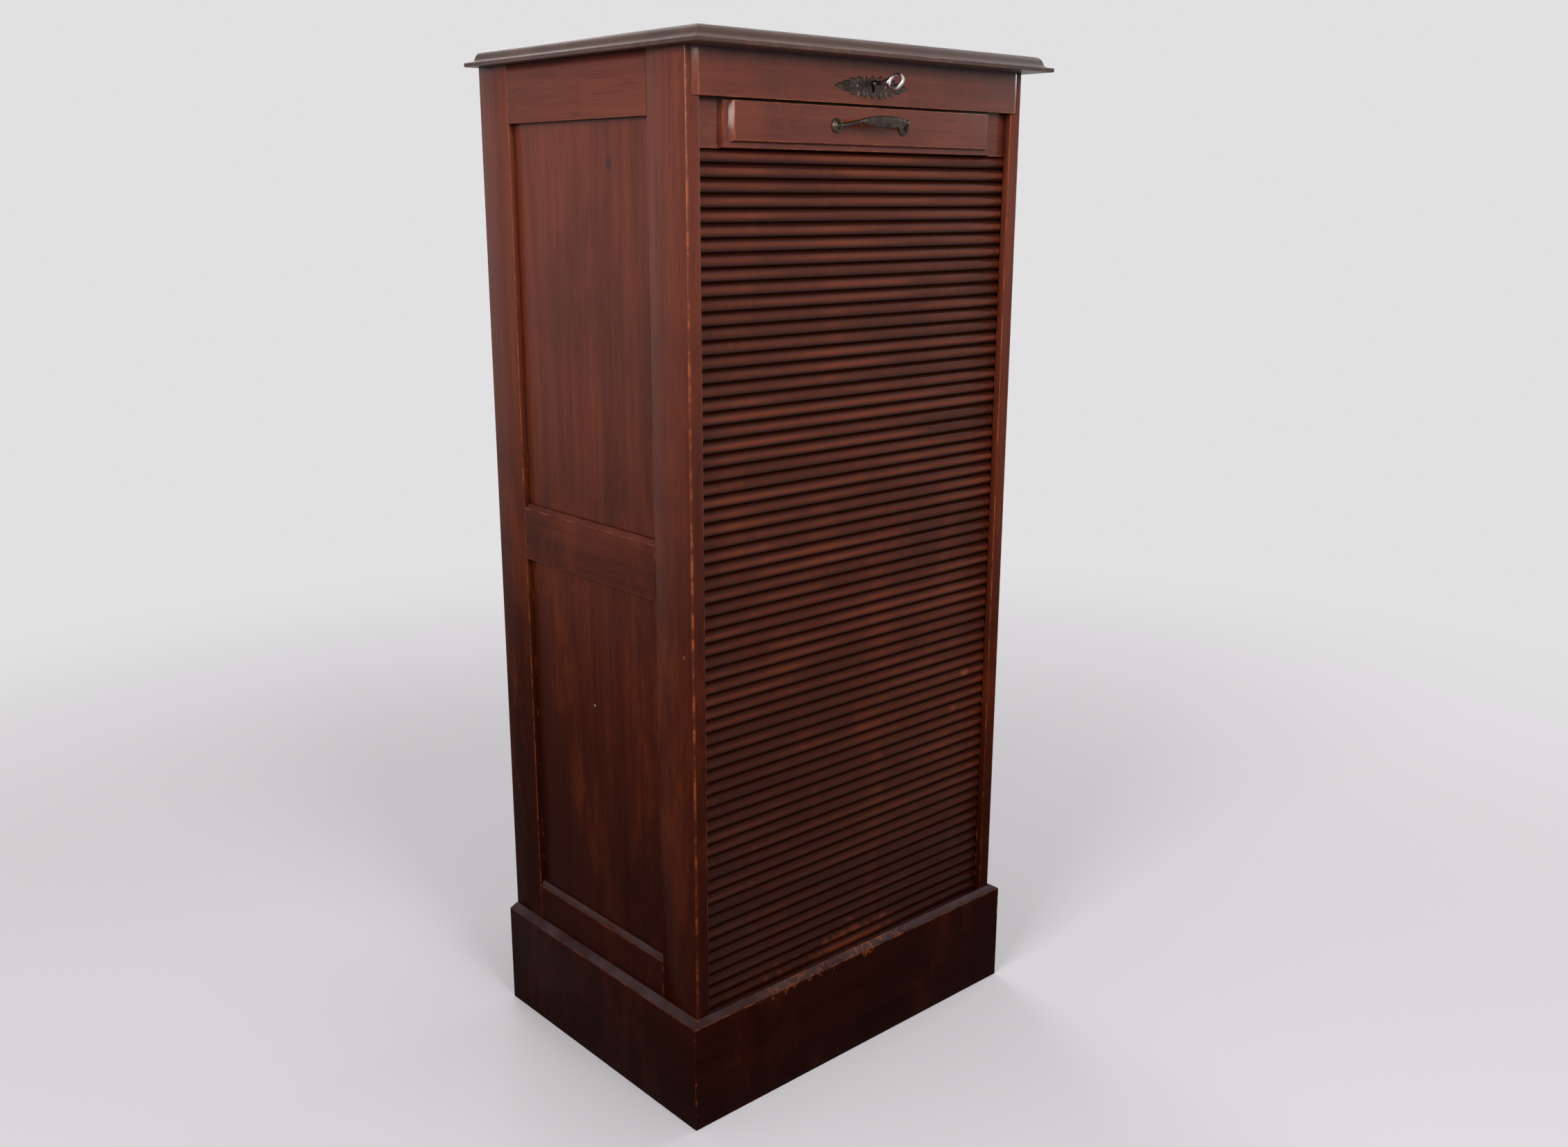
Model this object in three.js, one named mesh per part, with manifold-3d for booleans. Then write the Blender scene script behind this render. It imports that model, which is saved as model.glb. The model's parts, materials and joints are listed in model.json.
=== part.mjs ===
// A tall panelled cabinet whose front is closed by a tambour: wooden slats on a canvas back that
// run down grooves in the two sides, round under the floor and up behind the inner back.
// Millimetres. X is the width, Y the depth with the front towards -Y, Z is up from the floor.
import * as THREE from 'three';
import { mergeVertices } from 'three/addons/utils/BufferGeometryUtils.js';
import Module from 'manifold-3d';

const wasm = await Module();
wasm.setup();

// Carcass
const overallHeight = 1250;
const carcassWidth = 526;
const carcassDepth = 398;
const sideThickness = 18;
const frontStileWidth = 66;
const rearStileWidth = 62;
const sideTopRailHeight = 66;
const middleRailBase = 641;
const middleRailHeight = 70;
const bottomRailTop = 193;
const railFloorGap = 20;
const railChamfer = 5;
const panelRecess = 8;
const panelThickness = 6;
const panelTongue = 7;
const tenonLength = 12;
const tenonShoulder = 14;

// Moulded top of two boards
const topThickness = 18;
const topSideOverhang = 16;
const topFrontOverhang = 37;
const topRearOverhang = 5;
const mouldingWidth = 19;
const topRearBoardWidth = 78;

// Skirting
const skirtingOuterHeight = 135;
const skirtingSlope = 6;
const skirtingSideThickness = 12;
const skirtingFrontThickness = 10;

// Front rail above the opening
const frontRailHeight = 48;
const frontRailProud = 3;
const frontRailEndInset = 8;
const frontRailEndBevel = 7;

// Stretchers under the top
const stretcherThickness = 18;
const stretcherWidth = 60;

// Tambour
const slatPitch = 15.35;
const slatsInStrip = 11;
const stripCount = 6;
const slatRecess = 10;
const slatThickness = 8;
const slatWeb = 1.2;
const canvasThickness = 0.8;
const canvasLap = 20;
const grooveDepth = 9;
const bendRadius = 46;
const underRunHeight = 66;
const rearRunInset = 23;

// Lead board and its raised panel
const leadVisibleHeight = 50.8;
const leadRise = 8;
const leadThickness = 10;
const leadPanelEndInset = 32;
const leadPanelBand = 8;
const leadPanelBandSlope = 1.7;
const leadPanelBandThickness = 5.5;
const leadPanelThickness = 11.5;
const leadPanelBevel = 3.4;
const leadPanelBottomShare = 0.62;

// Pull handle
const handleCentres = 106;
const handleDrop = 23.5;
const handleFootDiameter = 17;
const handleFootHeight = 6;
const handleArmDiameter = 6.4;
const handleProjection = 24;
const handleGripLength = 68;
const handleGripHeight = 13;
const handleGripThickness = 7;
const handleGripLift = 5;
const handleBoltDiameter = 4;
const handleBoltHeadDiameter = 9;
const handleBoltHeadHeight = 2.4;
const handleBoltBite = 4;

// Lock, key and escutcheon
const keyBelowTop = 25;
const keyShankDiameter = 5;
const keyCollarDiameter = 8;
const keyCollarLength = 2.4;
const keyBowLength = 25;
const keyBowWidth = 21;
const keyBowWire = 4.2;
const keyProjection = 35;
const keyBitReach = 8;
const keyBitThickness = 2.4;
const keyBitWidth = 4;
const keyRestTurn = 23;
const quarterTurn = 90;
const keyholeDiameter = 6.4;
const keyholeSlotWidth = 3.6;
const keyholeSlotDrop = 9.4;
const escutcheonLength = 120;
const escutcheonHeight = 24;
const escutcheonThickness = 2;
const escutcheonDrop = 4;
const lockWidth = 64;
const lockHeight = 31;
const lockDepth = 14;
const lockWall = 1.6;
const boltLength = 28;
const boltHeight = 5;
const boltThickness = 5;
const boltRise = 5;
const boltTravelPerQuarterTurn = 9;
const boltTabWidth = 4;
const boltTabDrop = 9;
const boltTabGap = 3;
const boltGuideStart = 7;
const boltGuideLength = 12;
const boltGuideThickness = 2;
const hookThickness = 2.5;
const hookDepth = 8.5;
const hookHeadHeight = 3.6;
const linkPlateLength = 22;
const linkPlateThickness = 2;

// Inside
const floorThickness = 12;
const floorFrontGap = 7;
const housingDepth = 5;
const innerBackThickness = 6;
const innerBackInset = 33;
const shelfCount = 3;
const shelfThickness = 12;
const shelfFrontSetback = 4;
const bearerHeight = 18;
const bearerWidth = 15;
const bearerEndGap = 6;

// Back
const backThickness = 12;
const backPanelThickness = 5;
const backRabbet = 6;
const backBottomRailHeight = 100;

// Clearances
const cutOverrun = 2;
const seatClearance = 0.3;
const slatEndClearance = 1;
const grooveClearance = 0.7;
const slideClearance = 0.8;

// Levels and planes worked out from the sizes above
const carcassTop = overallHeight - topThickness;
const frontY = -carcassDepth / 2;
const rearY = carcassDepth / 2;
const sideX = carcassWidth / 2;
const insideX = sideX - sideThickness;
const railFaceY = frontY - frontRailProud;
const railBackY = frontY + slatRecess - slideClearance;
const railBottom = carcassTop - frontRailHeight;
const slatFrontY = frontY + slatRecess;
const slatBackY = slatFrontY + slatThickness;
const canvasBackY = slatBackY + canvasThickness;
const leadBackY = slatFrontY + leadThickness;
const leadBottom = railBottom - leadVisibleHeight;
const leadTop = railBottom + leadRise;
const grooveFrontY = slatFrontY - grooveClearance;
const grooveRearY = leadBackY + grooveClearance;
const grooveWidth = grooveRearY - grooveFrontY;
const frontRunY = (grooveFrontY + grooveRearY) / 2;
const rearRunY = rearY - rearRunInset;
const bendTop = underRunHeight + bendRadius;
const skirtingTop = skirtingOuterHeight + skirtingSlope;
const floorTop = skirtingTop;
const floorFrontY = leadBackY + floorFrontGap;
const innerBackY = rearY - innerBackInset - innerBackThickness;
const panelFrontY = frontY + frontStileWidth;
const panelRearY = rearY - rearStileWidth;
const slatEndX = insideX + grooveDepth - slatEndClearance;
const keyZ = carcassTop - keyBelowTop;
const leadFaceY = slatFrontY - leadPanelThickness;
const handleZ = railBottom - handleDrop;
const keyBowY = railFaceY - keyProjection;

// Finishes
const finish = (color, roughness, metalness) => (
  new THREE.MeshStandardMaterial({ color, roughness, metalness })
);
const finishes = {
  topWood: finish(0x74655f, 0.55, 0),
  caseWood: finish(0x6a4238, 0.5, 0),
  slatWood: finish(0x5d3a32, 0.45, 0),
  insideWood: finish(0x8a694d, 0.7, 0),
  canvas: finish(0x8c7d64, 0.95, 0),
  bronze: finish(0x3d3832, 0.45, 0.8),
  steel: finish(0xb8b3ae, 0.25, 1),
  lockSteel: finish(0x6f6a64, 0.4, 1),
};

const cabinet = new THREE.Group();

function solidOf(geometry) {
  const bare = geometry.clone();
  bare.deleteAttribute('normal');
  bare.deleteAttribute('uv');
  const merged = mergeVertices(bare);
  const vertProperties = new Float32Array(merged.attributes.position.array);
  const triVerts = new Uint32Array(merged.index.array);
  return new wasm.Manifold(new wasm.Mesh({ numProp: 3, vertProperties, triVerts }));
}

function addPart(name, solid, material, parent = cabinet) {
  const { vertProperties, triVerts } = solid.getMesh();
  const geometry = new THREE.BufferGeometry();
  geometry.setAttribute('position', new THREE.BufferAttribute(new Float32Array(vertProperties), 3));
  geometry.setIndex(new THREE.BufferAttribute(new Uint32Array(triVerts), 1));
  geometry.computeVertexNormals();
  const mesh = new THREE.Mesh(geometry, material);
  mesh.name = name;
  parent.add(mesh);
}

const join = (first, ...others) => others.reduce((whole, other) => whole.add(other), first);
const cut = (first, ...cutters) => cutters.reduce((whole, cutter) => whole.subtract(cutter), first);
const widen = ([low, high], by) => [low - by, high + by];
const middle = ([low, high]) => (low + high) / 2;
const sorted = (a, b) => [Math.min(a, b), Math.max(a, b)];

// A shape drawn in Y and Z, run along X
function runAlongX(shape, x, curveSegments = 8) {
  const settings = { depth: x[1] - x[0], bevelEnabled: false, curveSegments };
  const geometry = new THREE.ExtrudeGeometry(shape, settings);
  const axes = new THREE.Matrix4();
  axes.makeBasis(new THREE.Vector3(0, 1, 0), new THREE.Vector3(0, 0, 1), new THREE.Vector3(1, 0, 0));
  geometry.applyMatrix4(axes);
  geometry.translate(x[0], 0, 0);
  return solidOf(geometry);
}

// A shape drawn in X and Z, run along Y
function runAlongY(shape, y, curveSegments = 8) {
  const settings = { depth: y[1] - y[0], bevelEnabled: false, curveSegments };
  const geometry = new THREE.ExtrudeGeometry(shape, settings);
  geometry.rotateX(Math.PI / 2);
  geometry.translate(0, y[1], 0);
  return solidOf(geometry);
}

// A turned piece, drawn as radius and height, standing out towards the front from a plane
function turnedForward(profile, x, planeY, z, sides = 20) {
  const points = profile.map(([radius, height]) => new THREE.Vector2(radius, height));
  const geometry = new THREE.LatheGeometry(points, sides);
  geometry.rotateX(Math.PI);
  geometry.translate(x, planeY, z);
  return solidOf(geometry);
}

function polygon(points) {
  return new THREE.Shape(points.map(([u, v]) => new THREE.Vector2(u, v)));
}

// A solid through rings of corners: each ring joined to the next one, the first and last closed
function loft(rings) {
  const corners = rings[0].length;
  const last = (rings.length - 1) * corners;
  const index = [];
  for (let corner = 2; corner < corners; corner++) {
    index.push(0, corner, corner - 1);
    index.push(last, last + corner - 1, last + corner);
  }
  for (let low = 0; low < last; low += corners) {
    for (let corner = 0; corner < corners; corner++) {
      const next = (corner + 1) % corners;
      index.push(low + corner, low + next, low + corners + next);
      index.push(low + corner, low + corners + next, low + corners + corner);
    }
  }
  const geometry = new THREE.BufferGeometry();
  geometry.setAttribute('position', new THREE.Float32BufferAttribute(rings.flat(2), 3));
  geometry.setIndex(index);
  return solidOf(geometry);
}

const rectangle = ([left, right], [near, far]) => [[left, near], [right, near], [right, far], [left, far]];
const block = (x, y, z) => loft(z.map((level) => rectangle(x, y).map((corner) => [...corner, level])));

function cylinderAlongY(radius, x, y, z, sides = 16) {
  const geometry = new THREE.CylinderGeometry(radius, radius, y[1] - y[0], sides);
  geometry.translate(x, middle(y), z);
  return solidOf(geometry);
}

// The groove that the tambour runs in: down the front, under the floor and up behind the inner back
function tambourGroove() {
  const shape = new THREE.Shape();
  const outer = bendRadius + grooveWidth / 2;
  const inner = bendRadius - grooveWidth / 2;
  const frontCentre = frontRunY + bendRadius;
  const rearCentre = rearRunY - bendRadius;
  const openTop = carcassTop + cutOverrun;
  shape.moveTo(frontRunY - grooveWidth / 2, openTop);
  shape.lineTo(frontRunY - grooveWidth / 2, bendTop);
  shape.absarc(frontCentre, bendTop, outer, Math.PI, Math.PI * 1.5, false);
  shape.absarc(rearCentre, bendTop, outer, Math.PI * 1.5, Math.PI * 2, false);
  shape.lineTo(rearRunY + grooveWidth / 2, openTop);
  shape.lineTo(rearRunY - grooveWidth / 2, openTop);
  shape.lineTo(rearRunY - grooveWidth / 2, bendTop);
  shape.absarc(rearCentre, bendTop, inner, 0, -Math.PI / 2, true);
  shape.absarc(frontCentre, bendTop, inner, -Math.PI / 2, -Math.PI, true);
  shape.lineTo(frontRunY + grooveWidth / 2, openTop);
  shape.closePath();
  return shape;
}

// Moulded top
const mouldingShares = [
  [0.05, 0], [0, 0.05], [0, 0.2], [0.05, 0.27], [0.24, 0.31], [0.36, 0.4],
  [0.46, 0.56], [0.58, 0.72], [0.72, 0.85], [0.86, 0.96], [1, 1],
];

function buildTop() {
  const x = widen([-sideX, sideX], topSideOverhang);
  const y = [frontY - topFrontOverhang, rearY + topRearOverhang];
  const whole = loft(mouldingShares.map(([inShare, upShare]) => {
    const inset = -inShare * mouldingWidth;
    return rectangle(widen(x, inset), widen(y, inset)).map((corner) => (
      [...corner, carcassTop + upShare * topThickness]
    ));
  }));
  const jointY = y[1] - topRearBoardWidth;
  const all = widen([carcassTop, overallHeight], cutOverrun);
  const wide = widen(x, cutOverrun);
  addPart('top_board_front', cut(whole, block(wide, [jointY, y[1] + cutOverrun], all)), finishes.topWood);
  const rearOfFront = [y[0] - cutOverrun, jointY + seatClearance];
  addPart('top_board_rear', cut(whole, block(wide, rearOfFront, all)), finishes.topWood);
}

// Frame and panel sides
const panelLevels = {
  upper: [middleRailBase + middleRailHeight, carcassTop - sideTopRailHeight],
  lower: [bottomRailTop, middleRailBase],
};
const sideRails = {
  top: { z: [carcassTop - sideTopRailHeight, carcassTop], chamfer: 0 },
  middle: { z: [middleRailBase, middleRailBase + middleRailHeight], chamfer: railChamfer },
  bottom: { z: [railFloorGap, bottomRailTop], chamfer: railChamfer },
};
const tenonLevels = {
  top: widen(sideRails.top.z, -tenonShoulder),
  middle: widen(sideRails.middle.z, -tenonShoulder),
  bottom: [bendTop + grooveWidth, bottomRailTop - tenonShoulder],
};

function buildSide(side, name) {
  const across = (from, to) => sorted(side * (sideX - from), side * (sideX - to));
  const thickness = across(0, sideThickness);
  const tongueX = across(panelRecess, panelRecess + panelThickness);
  const betweenStiles = [panelFrontY, panelRearY];
  const groove = runAlongX(tambourGroove(), across(sideThickness - grooveDepth, sideThickness + cutOverrun));
  const housingX = across(sideThickness - housingDepth - seatClearance, sideThickness + cutOverrun);
  const floorY = [floorFrontY, innerBackY + innerBackThickness];
  const floorHousing = block(housingX, widen(floorY, seatClearance),
    widen([floorTop - floorThickness, floorTop], seatClearance));
  const panels = Object.values(panelLevels).map((z) => ({
    x: tongueX, y: widen(betweenStiles, panelTongue), z: widen(z, panelTongue),
  }));
  const panelRooms = panels.map(({ x, y, z }) => (
    block(widen(x, seatClearance), widen(y, seatClearance), widen(z, seatClearance))
  ));
  const mortises = Object.values(tenonLevels).map((z) => block(widen(tongueX, seatClearance),
    widen(betweenStiles, tenonLength + seatClearance), widen(z, seatClearance)));

  const railNotch = block(across(frontRailEndInset - seatClearance, sideThickness + cutOverrun),
    [frontY - cutOverrun, grooveFrontY + cutOverrun],
    [railBottom - seatClearance, carcassTop + cutOverrun]);
  const frontStile = block(thickness, [frontY, panelFrontY], [0, carcassTop]);
  addPart(`${name}_front_stile`,
    cut(frontStile, groove, floorHousing, railNotch, ...panelRooms, ...mortises), finishes.caseWood);

  const innerBackRoom = block(housingX,
    widen([innerBackY, innerBackY + innerBackThickness], seatClearance),
    [floorTop - seatClearance, carcassTop + cutOverrun]);
  const backRoom = block(across(sideThickness - backRabbet - seatClearance, sideThickness + cutOverrun),
    [rearY - backThickness - seatClearance, rearY + cutOverrun],
    [-cutOverrun, carcassTop + cutOverrun]);
  const rearStile = block(thickness, [panelRearY, rearY], [0, carcassTop]);
  addPart(`${name}_rear_stile`,
    cut(rearStile, groove, floorHousing, innerBackRoom, backRoom, ...panelRooms, ...mortises),
    finishes.caseWood);

  for (const [place, { z, chamfer }] of Object.entries(sideRails)) {
    const outX = side * sideX;
    const section = polygon([
      [outX, z[0]], [outX, z[1] - chamfer], [outX - side * chamfer, z[1]],
      [outX - side * sideThickness, z[1]], [outX - side * sideThickness, z[0]],
    ]);
    const rail = runAlongY(section, betweenStiles);
    const tenons = block(tongueX, widen(betweenStiles, tenonLength), tenonLevels[place]);
    const cutters = place === 'bottom' ? [groove, floorHousing, ...panelRooms] : panelRooms;
    addPart(`${name}_${place}_rail`, cut(join(rail, tenons), ...cutters), finishes.caseWood);
  }

  Object.keys(panelLevels).forEach((level, i) => {
    const { x, y, z } = panels[i];
    addPart(`${name}_${level}_panel`, block(x, y, z), finishes.caseWood);
  });
}

// Keyhole, a round hole with a slot below it, drawn in X and Z
function keyhole(clearance = 0) {
  const radius = keyholeDiameter / 2 + clearance;
  const halfSlot = keyholeSlotWidth / 2 + clearance;
  const slotAngle = Math.asin(halfSlot / radius);
  const path = new THREE.Path();
  path.moveTo(-halfSlot, keyZ - keyholeSlotDrop - clearance);
  path.lineTo(halfSlot, keyZ - keyholeSlotDrop - clearance);
  path.absarc(0, keyZ, radius, slotAngle - Math.PI / 2, Math.PI * 1.5 - slotAngle, false);
  path.closePath();
  return path;
}

function buildFrontRail() {
  const endX = sideX - frontRailEndInset;
  const faceX = endX - frontRailEndBevel;
  const bevelled = new THREE.Shape();
  bevelled.moveTo(-endX, railBackY);
  bevelled.lineTo(endX, railBackY);
  bevelled.lineTo(endX, frontY);
  bevelled.lineTo(faceX, railFaceY);
  bevelled.lineTo(-faceX, railFaceY);
  bevelled.lineTo(-endX, frontY);
  bevelled.closePath();
  const geometry = new THREE.ExtrudeGeometry(bevelled, { depth: frontRailHeight, bevelEnabled: false });
  geometry.translate(0, 0, railBottom);
  const hole = new THREE.Shape(keyhole(seatClearance).getPoints(8));
  const holeCutter = runAlongY(hole, widen([railFaceY, railBackY], cutOverrun));
  addPart('front_top_rail', cut(solidOf(geometry), holeCutter), finishes.caseWood);
}

function buildStretchers() {
  const x = [-insideX, insideX];
  const z = [carcassTop - stretcherThickness, carcassTop];
  const frontFrom = leadBackY + floorFrontGap;
  addPart('front_stretcher', block(x, [frontFrom, frontFrom + stretcherWidth], z), finishes.insideWood);
  addPart('rear_stretcher', block(x, [innerBackY - stretcherWidth, innerBackY], z), finishes.insideWood);
}

// Skirting boards with a sloped top edge, mitred at the two front corners
function buildSkirting() {
  const section = [[1, 0], [0, 0], [0, skirtingTop], [1, skirtingOuterHeight]];
  const ring = (side, y, frontShare) => section.map(([out, z]) => (
    [side * (sideX + out * skirtingSideThickness), y - out * frontShare * skirtingFrontThickness, z]
  ));
  const mitreY = frontY + seatClearance;
  addPart('plinth_front', loft([ring(-1, frontY, 1), ring(1, frontY, 1)]), finishes.caseWood);
  addPart('plinth_left', loft([ring(-1, rearY, 0), ring(-1, mitreY, 1)]), finishes.caseWood);
  addPart('plinth_right', loft([ring(1, mitreY, 1), ring(1, rearY, 0)]), finishes.caseWood);
}

function buildInside() {
  const housedX = widen([-insideX, insideX], housingDepth);
  const floorY = [floorFrontY, innerBackY + innerBackThickness];
  addPart('cabinet_floor', block(housedX, floorY, [floorTop - floorThickness, floorTop]),
    finishes.insideWood);
  addPart('inner_back', block(housedX, [innerBackY, innerBackY + innerBackThickness],
    [floorTop, carcassTop]), finishes.insideWood);
  const ceiling = carcassTop - stretcherThickness;
  const clearHeight = (ceiling - floorTop - shelfCount * shelfThickness) / (shelfCount + 1);
  const shelfY = [floorFrontY + shelfFrontSetback, innerBackY];
  const bearerY = [floorFrontY + shelfFrontSetback + bearerEndGap, innerBackY - bearerEndGap];
  for (let i = 0; i < shelfCount; i++) {
    const under = floorTop + (i + 1) * clearHeight + i * shelfThickness;
    addPart(`shelf_${i + 1}`, block(widen([-insideX, insideX], -seatClearance), shelfY,
      [under, under + shelfThickness]), finishes.insideWood);
    for (const [side, name] of [[-1, 'left'], [1, 'right']]) {
      const x = sorted(side * insideX, side * (insideX - bearerWidth));
      addPart(`shelf_bearer_${name}_${i + 1}`, block(x, bearerY, [under - bearerHeight, under]),
        finishes.insideWood);
    }
  }
}

function buildBack() {
  const x = widen([-insideX, insideX], backRabbet);
  const y = [rearY - backThickness, rearY];
  const middleY = middle(y);
  const panelY = [middleY - backPanelThickness / 2, middleY + backPanelThickness / 2];
  const levels = {
    lower: [railFloorGap + backBottomRailHeight, middleRailBase],
    upper: [middleRailBase + middleRailHeight, carcassTop - sideTopRailHeight],
  };
  const rooms = Object.values(levels).map((z) => block(widen(x, cutOverrun),
    widen(panelY, seatClearance), widen(z, panelTongue + seatClearance)));
  const rails = {
    bottom: [railFloorGap, levels.lower[0]],
    middle: [levels.lower[1], levels.upper[0]],
    top: [levels.upper[1], carcassTop],
  };
  for (const [place, z] of Object.entries(rails)) {
    addPart(`back_${place}_rail`, cut(block(x, y, z), ...rooms), finishes.caseWood);
  }
  for (const [level, z] of Object.entries(levels)) {
    addPart(`back_${level}_panel`, block(x, panelY, widen(z, panelTongue)), finishes.caseWood);
  }
}

// Slats glued side by side on canvas: each strip is a run of half-round reeds
function buildTambour() {
  const x = [-slatEndX, slatEndX];
  const reedDepth = slatThickness - slatWeb;
  for (let strip = 0; strip < stripCount; strip++) {
    const stripTop = leadBottom - strip * slatsInStrip * slatPitch;
    const shape = new THREE.Shape();
    shape.moveTo(slatBackY, stripTop - seatClearance);
    for (let slat = 0; slat < slatsInStrip; slat++) {
      const centreZ = stripTop - (slat + 1 / 2) * slatPitch;
      const halfReed = slatPitch / 2 - seatClearance;
      shape.lineTo(slatBackY - slatWeb, centreZ + halfReed);
      shape.absellipse(slatBackY - slatWeb, centreZ, reedDepth, halfReed,
        Math.PI / 2, Math.PI * 1.5, false, 0);
    }
    shape.lineTo(slatBackY, stripTop - slatsInStrip * slatPitch + seatClearance);
    shape.closePath();
    addPart(`slat_strip_${strip + 1}`, runAlongX(shape, x, 3), finishes.slatWood);
  }
  const curtainBottom = leadBottom - stripCount * slatsInStrip * slatPitch;
  const canvasX = [-insideX, insideX];
  const canvasZ = [curtainBottom, leadBottom + canvasLap];
  addPart('tambour_canvas', block(canvasX, [slatBackY, canvasBackY], canvasZ), finishes.canvas);
}

const handleFeet = [[-1, 'left'], [1, 'right']].map(([side, name]) => (
  { name, x: side * handleCentres / 2 }
));
const boltHoles = (y) => handleFeet.map(({ x }) => (
  cylinderAlongY(handleBoltDiameter / 2 + seatClearance, x, y, handleZ)
));

function buildLeadBoard() {
  const lapTop = leadBottom + canvasLap + seatClearance;
  const shape = polygon([
    [slatFrontY, leadBottom], [slatBackY, leadBottom], [slatBackY, lapTop],
    [leadBackY, lapTop], [leadBackY, leadTop], [slatFrontY, leadTop],
  ]);
  const headY = [leadBackY - handleBoltHeadHeight - seatClearance, leadBackY + cutOverrun];
  const headRadius = handleBoltHeadDiameter / 2 + seatClearance;
  const headRooms = handleFeet.map(({ x }) => cylinderAlongY(headRadius, x, headY, handleZ));
  const holes = boltHoles(widen([leadFaceY, leadBackY], cutOverrun));
  const board = runAlongX(shape, [-slatEndX, slatEndX]);
  addPart('lead_board', cut(board, ...holes, ...headRooms), finishes.caseWood);

  // Raised panel: a low band round its ends and bottom, then a bevel up to its face
  const halfLength = insideX - leadPanelEndInset;
  const top = railBottom - slideClearance;
  const steps = [
    [0, 0],
    [leadPanelBandSlope, leadPanelBandThickness],
    [leadPanelBandSlope + leadPanelBand, leadPanelBandThickness],
    [leadPanelBandSlope + leadPanelBand + leadPanelBevel, leadPanelThickness],
  ];
  const panel = loft(steps.map(([inset, proud]) => {
    const z = [leadBottom + inset * leadPanelBottomShare, top];
    return rectangle(widen([-halfLength, halfLength], -inset), z).map(([cornerX, cornerZ]) => (
      [cornerX, slatFrontY - proud, cornerZ]
    ));
  }));
  addPart('lead_panel', cut(panel, ...holes), finishes.caseWood);
}

// Each foot's outline as shares of its radius and height, and the line of each arm from its foot to
// the grip as shares of the way in to the grip's end, of the projection and of the lift
const footShares = [[0, 0], [1, 0], [1, 0.4], [0.7, 0.7], [0.45, 1], [0, 1]];
const armShares = [[0, 0.12, 0], [0.1, 0.55, 0], [0.6, 0.88, 0.7], [1.5, 1, 1]];

function buildHandle() {
  const gripY = leadFaceY - handleProjection;
  const gripZ = handleZ + handleGripLift;
  const footProfile = footShares.map(([outShare, upShare]) => (
    [outShare * handleFootDiameter / 2, upShare * handleFootHeight]
  ));
  const armSection = new THREE.Shape();
  armSection.absarc(0, 0, handleArmDiameter / 2, 0, Math.PI * 2, false);
  const ends = handleFeet.map(({ x }) => {
    const toGrip = Math.sign(x) * handleGripLength / 2 - x;
    const path = new THREE.CatmullRomCurve3(armShares.map(([inShare, outShare, upShare]) => (
      new THREE.Vector3(x + inShare * toGrip, leadFaceY - outShare * handleProjection,
        handleZ + upShare * handleGripLift)
    )));
    const arm = new THREE.ExtrudeGeometry(armSection, { steps: 10, curveSegments: 6, extrudePath: path });
    return join(turnedForward(footProfile, x, leadFaceY, handleZ), solidOf(arm));
  });
  const grip = new THREE.SphereGeometry(1 / 2, 24, 12);
  grip.scale(handleGripLength, handleGripThickness, handleGripHeight);
  grip.translate(0, gripY, gripZ);
  const boltRooms = boltHoles([leadFaceY - handleBoltBite - seatClearance, leadFaceY + cutOverrun]);
  addPart('handle', cut(join(solidOf(grip), ...ends), ...boltRooms), finishes.bronze);

  const boltRadius = handleBoltDiameter / 2;
  const headRadius = handleBoltHeadDiameter / 2;
  const reach = leadBackY - leadFaceY + handleBoltBite;
  const boltProfile = [
    [0, 0], [headRadius, 0], [headRadius, handleBoltHeadHeight], [boltRadius, handleBoltHeadHeight],
    [boltRadius, reach], [0, reach],
  ];
  for (const { name, x } of handleFeet) {
    addPart(`handle_bolt_${name}`, turnedForward(boltProfile, x, leadBackY, handleZ, 16),
      finishes.lockSteel);
  }
}

// A quarter of the escutcheon's edge, from the middle of the top to the right tip: curve after
// curve, the control point and then the end point, as shares of half its length and half its height
const escutcheonShares = [
  [0.13, 1.02, 0.19, 0.78], [0.27, 1.02, 0.35, 0.8], [0.44, 1.08, 0.55, 0.86],
  [0.66, 0.72, 0.66, 0.42], [0.74, 0.5, 0.8, 0.26], [0.9, 0.22, 1, 0],
];

function buildEscutcheon() {
  const centreZ = keyZ - escutcheonDrop;
  const backwards = escutcheonShares.map(([controlX, controlZ], i) => (
    [controlX, controlZ, ...(i > 0 ? escutcheonShares[i - 1].slice(2) : [0, 1])]
  )).reverse();
  const quarters = [
    [1, 1, escutcheonShares], [1, -1, backwards], [-1, -1, escutcheonShares], [-1, 1, backwards],
  ];
  const shape = new THREE.Shape();
  shape.moveTo(0, centreZ + escutcheonHeight / 2);
  for (const [side, up, curves] of quarters) {
    const atX = (share) => side * share * escutcheonLength / 2;
    const atZ = (share) => centreZ + up * share * escutcheonHeight / 2;
    for (const [controlX, controlZ, endX, endZ] of curves) {
      shape.quadraticCurveTo(atX(controlX), atZ(controlZ), atX(endX), atZ(endZ));
    }
  }
  shape.holes.push(keyhole());
  const y = [railFaceY - escutcheonThickness, railFaceY];
  addPart('escutcheon', runAlongY(shape, y, 4), finishes.bronze);
}

const lockBottom = leadTop + linkPlateThickness + slideClearance;
const lockY = [railBackY, railBackY + lockDepth];
const lockInnerY = [lockY[0] + lockWall, lockY[1] - lockWall];
const boltY = [lockInnerY[0] + seatClearance, lockInnerY[0] + seatClearance + boltThickness];
const boltZ = [keyZ + boltRise, keyZ + boltRise + boltHeight];
const restTravel = boltTravelPerQuarterTurn * keyRestTurn / quarterTurn;
const boltNoseX = -boltLength / 2;
const hookX = [boltNoseX - hookThickness - slideClearance, boltNoseX - slideClearance];
const hookY = [lockInnerY[0] + seatClearance, lockInnerY[0] + seatClearance + hookDepth];

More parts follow.
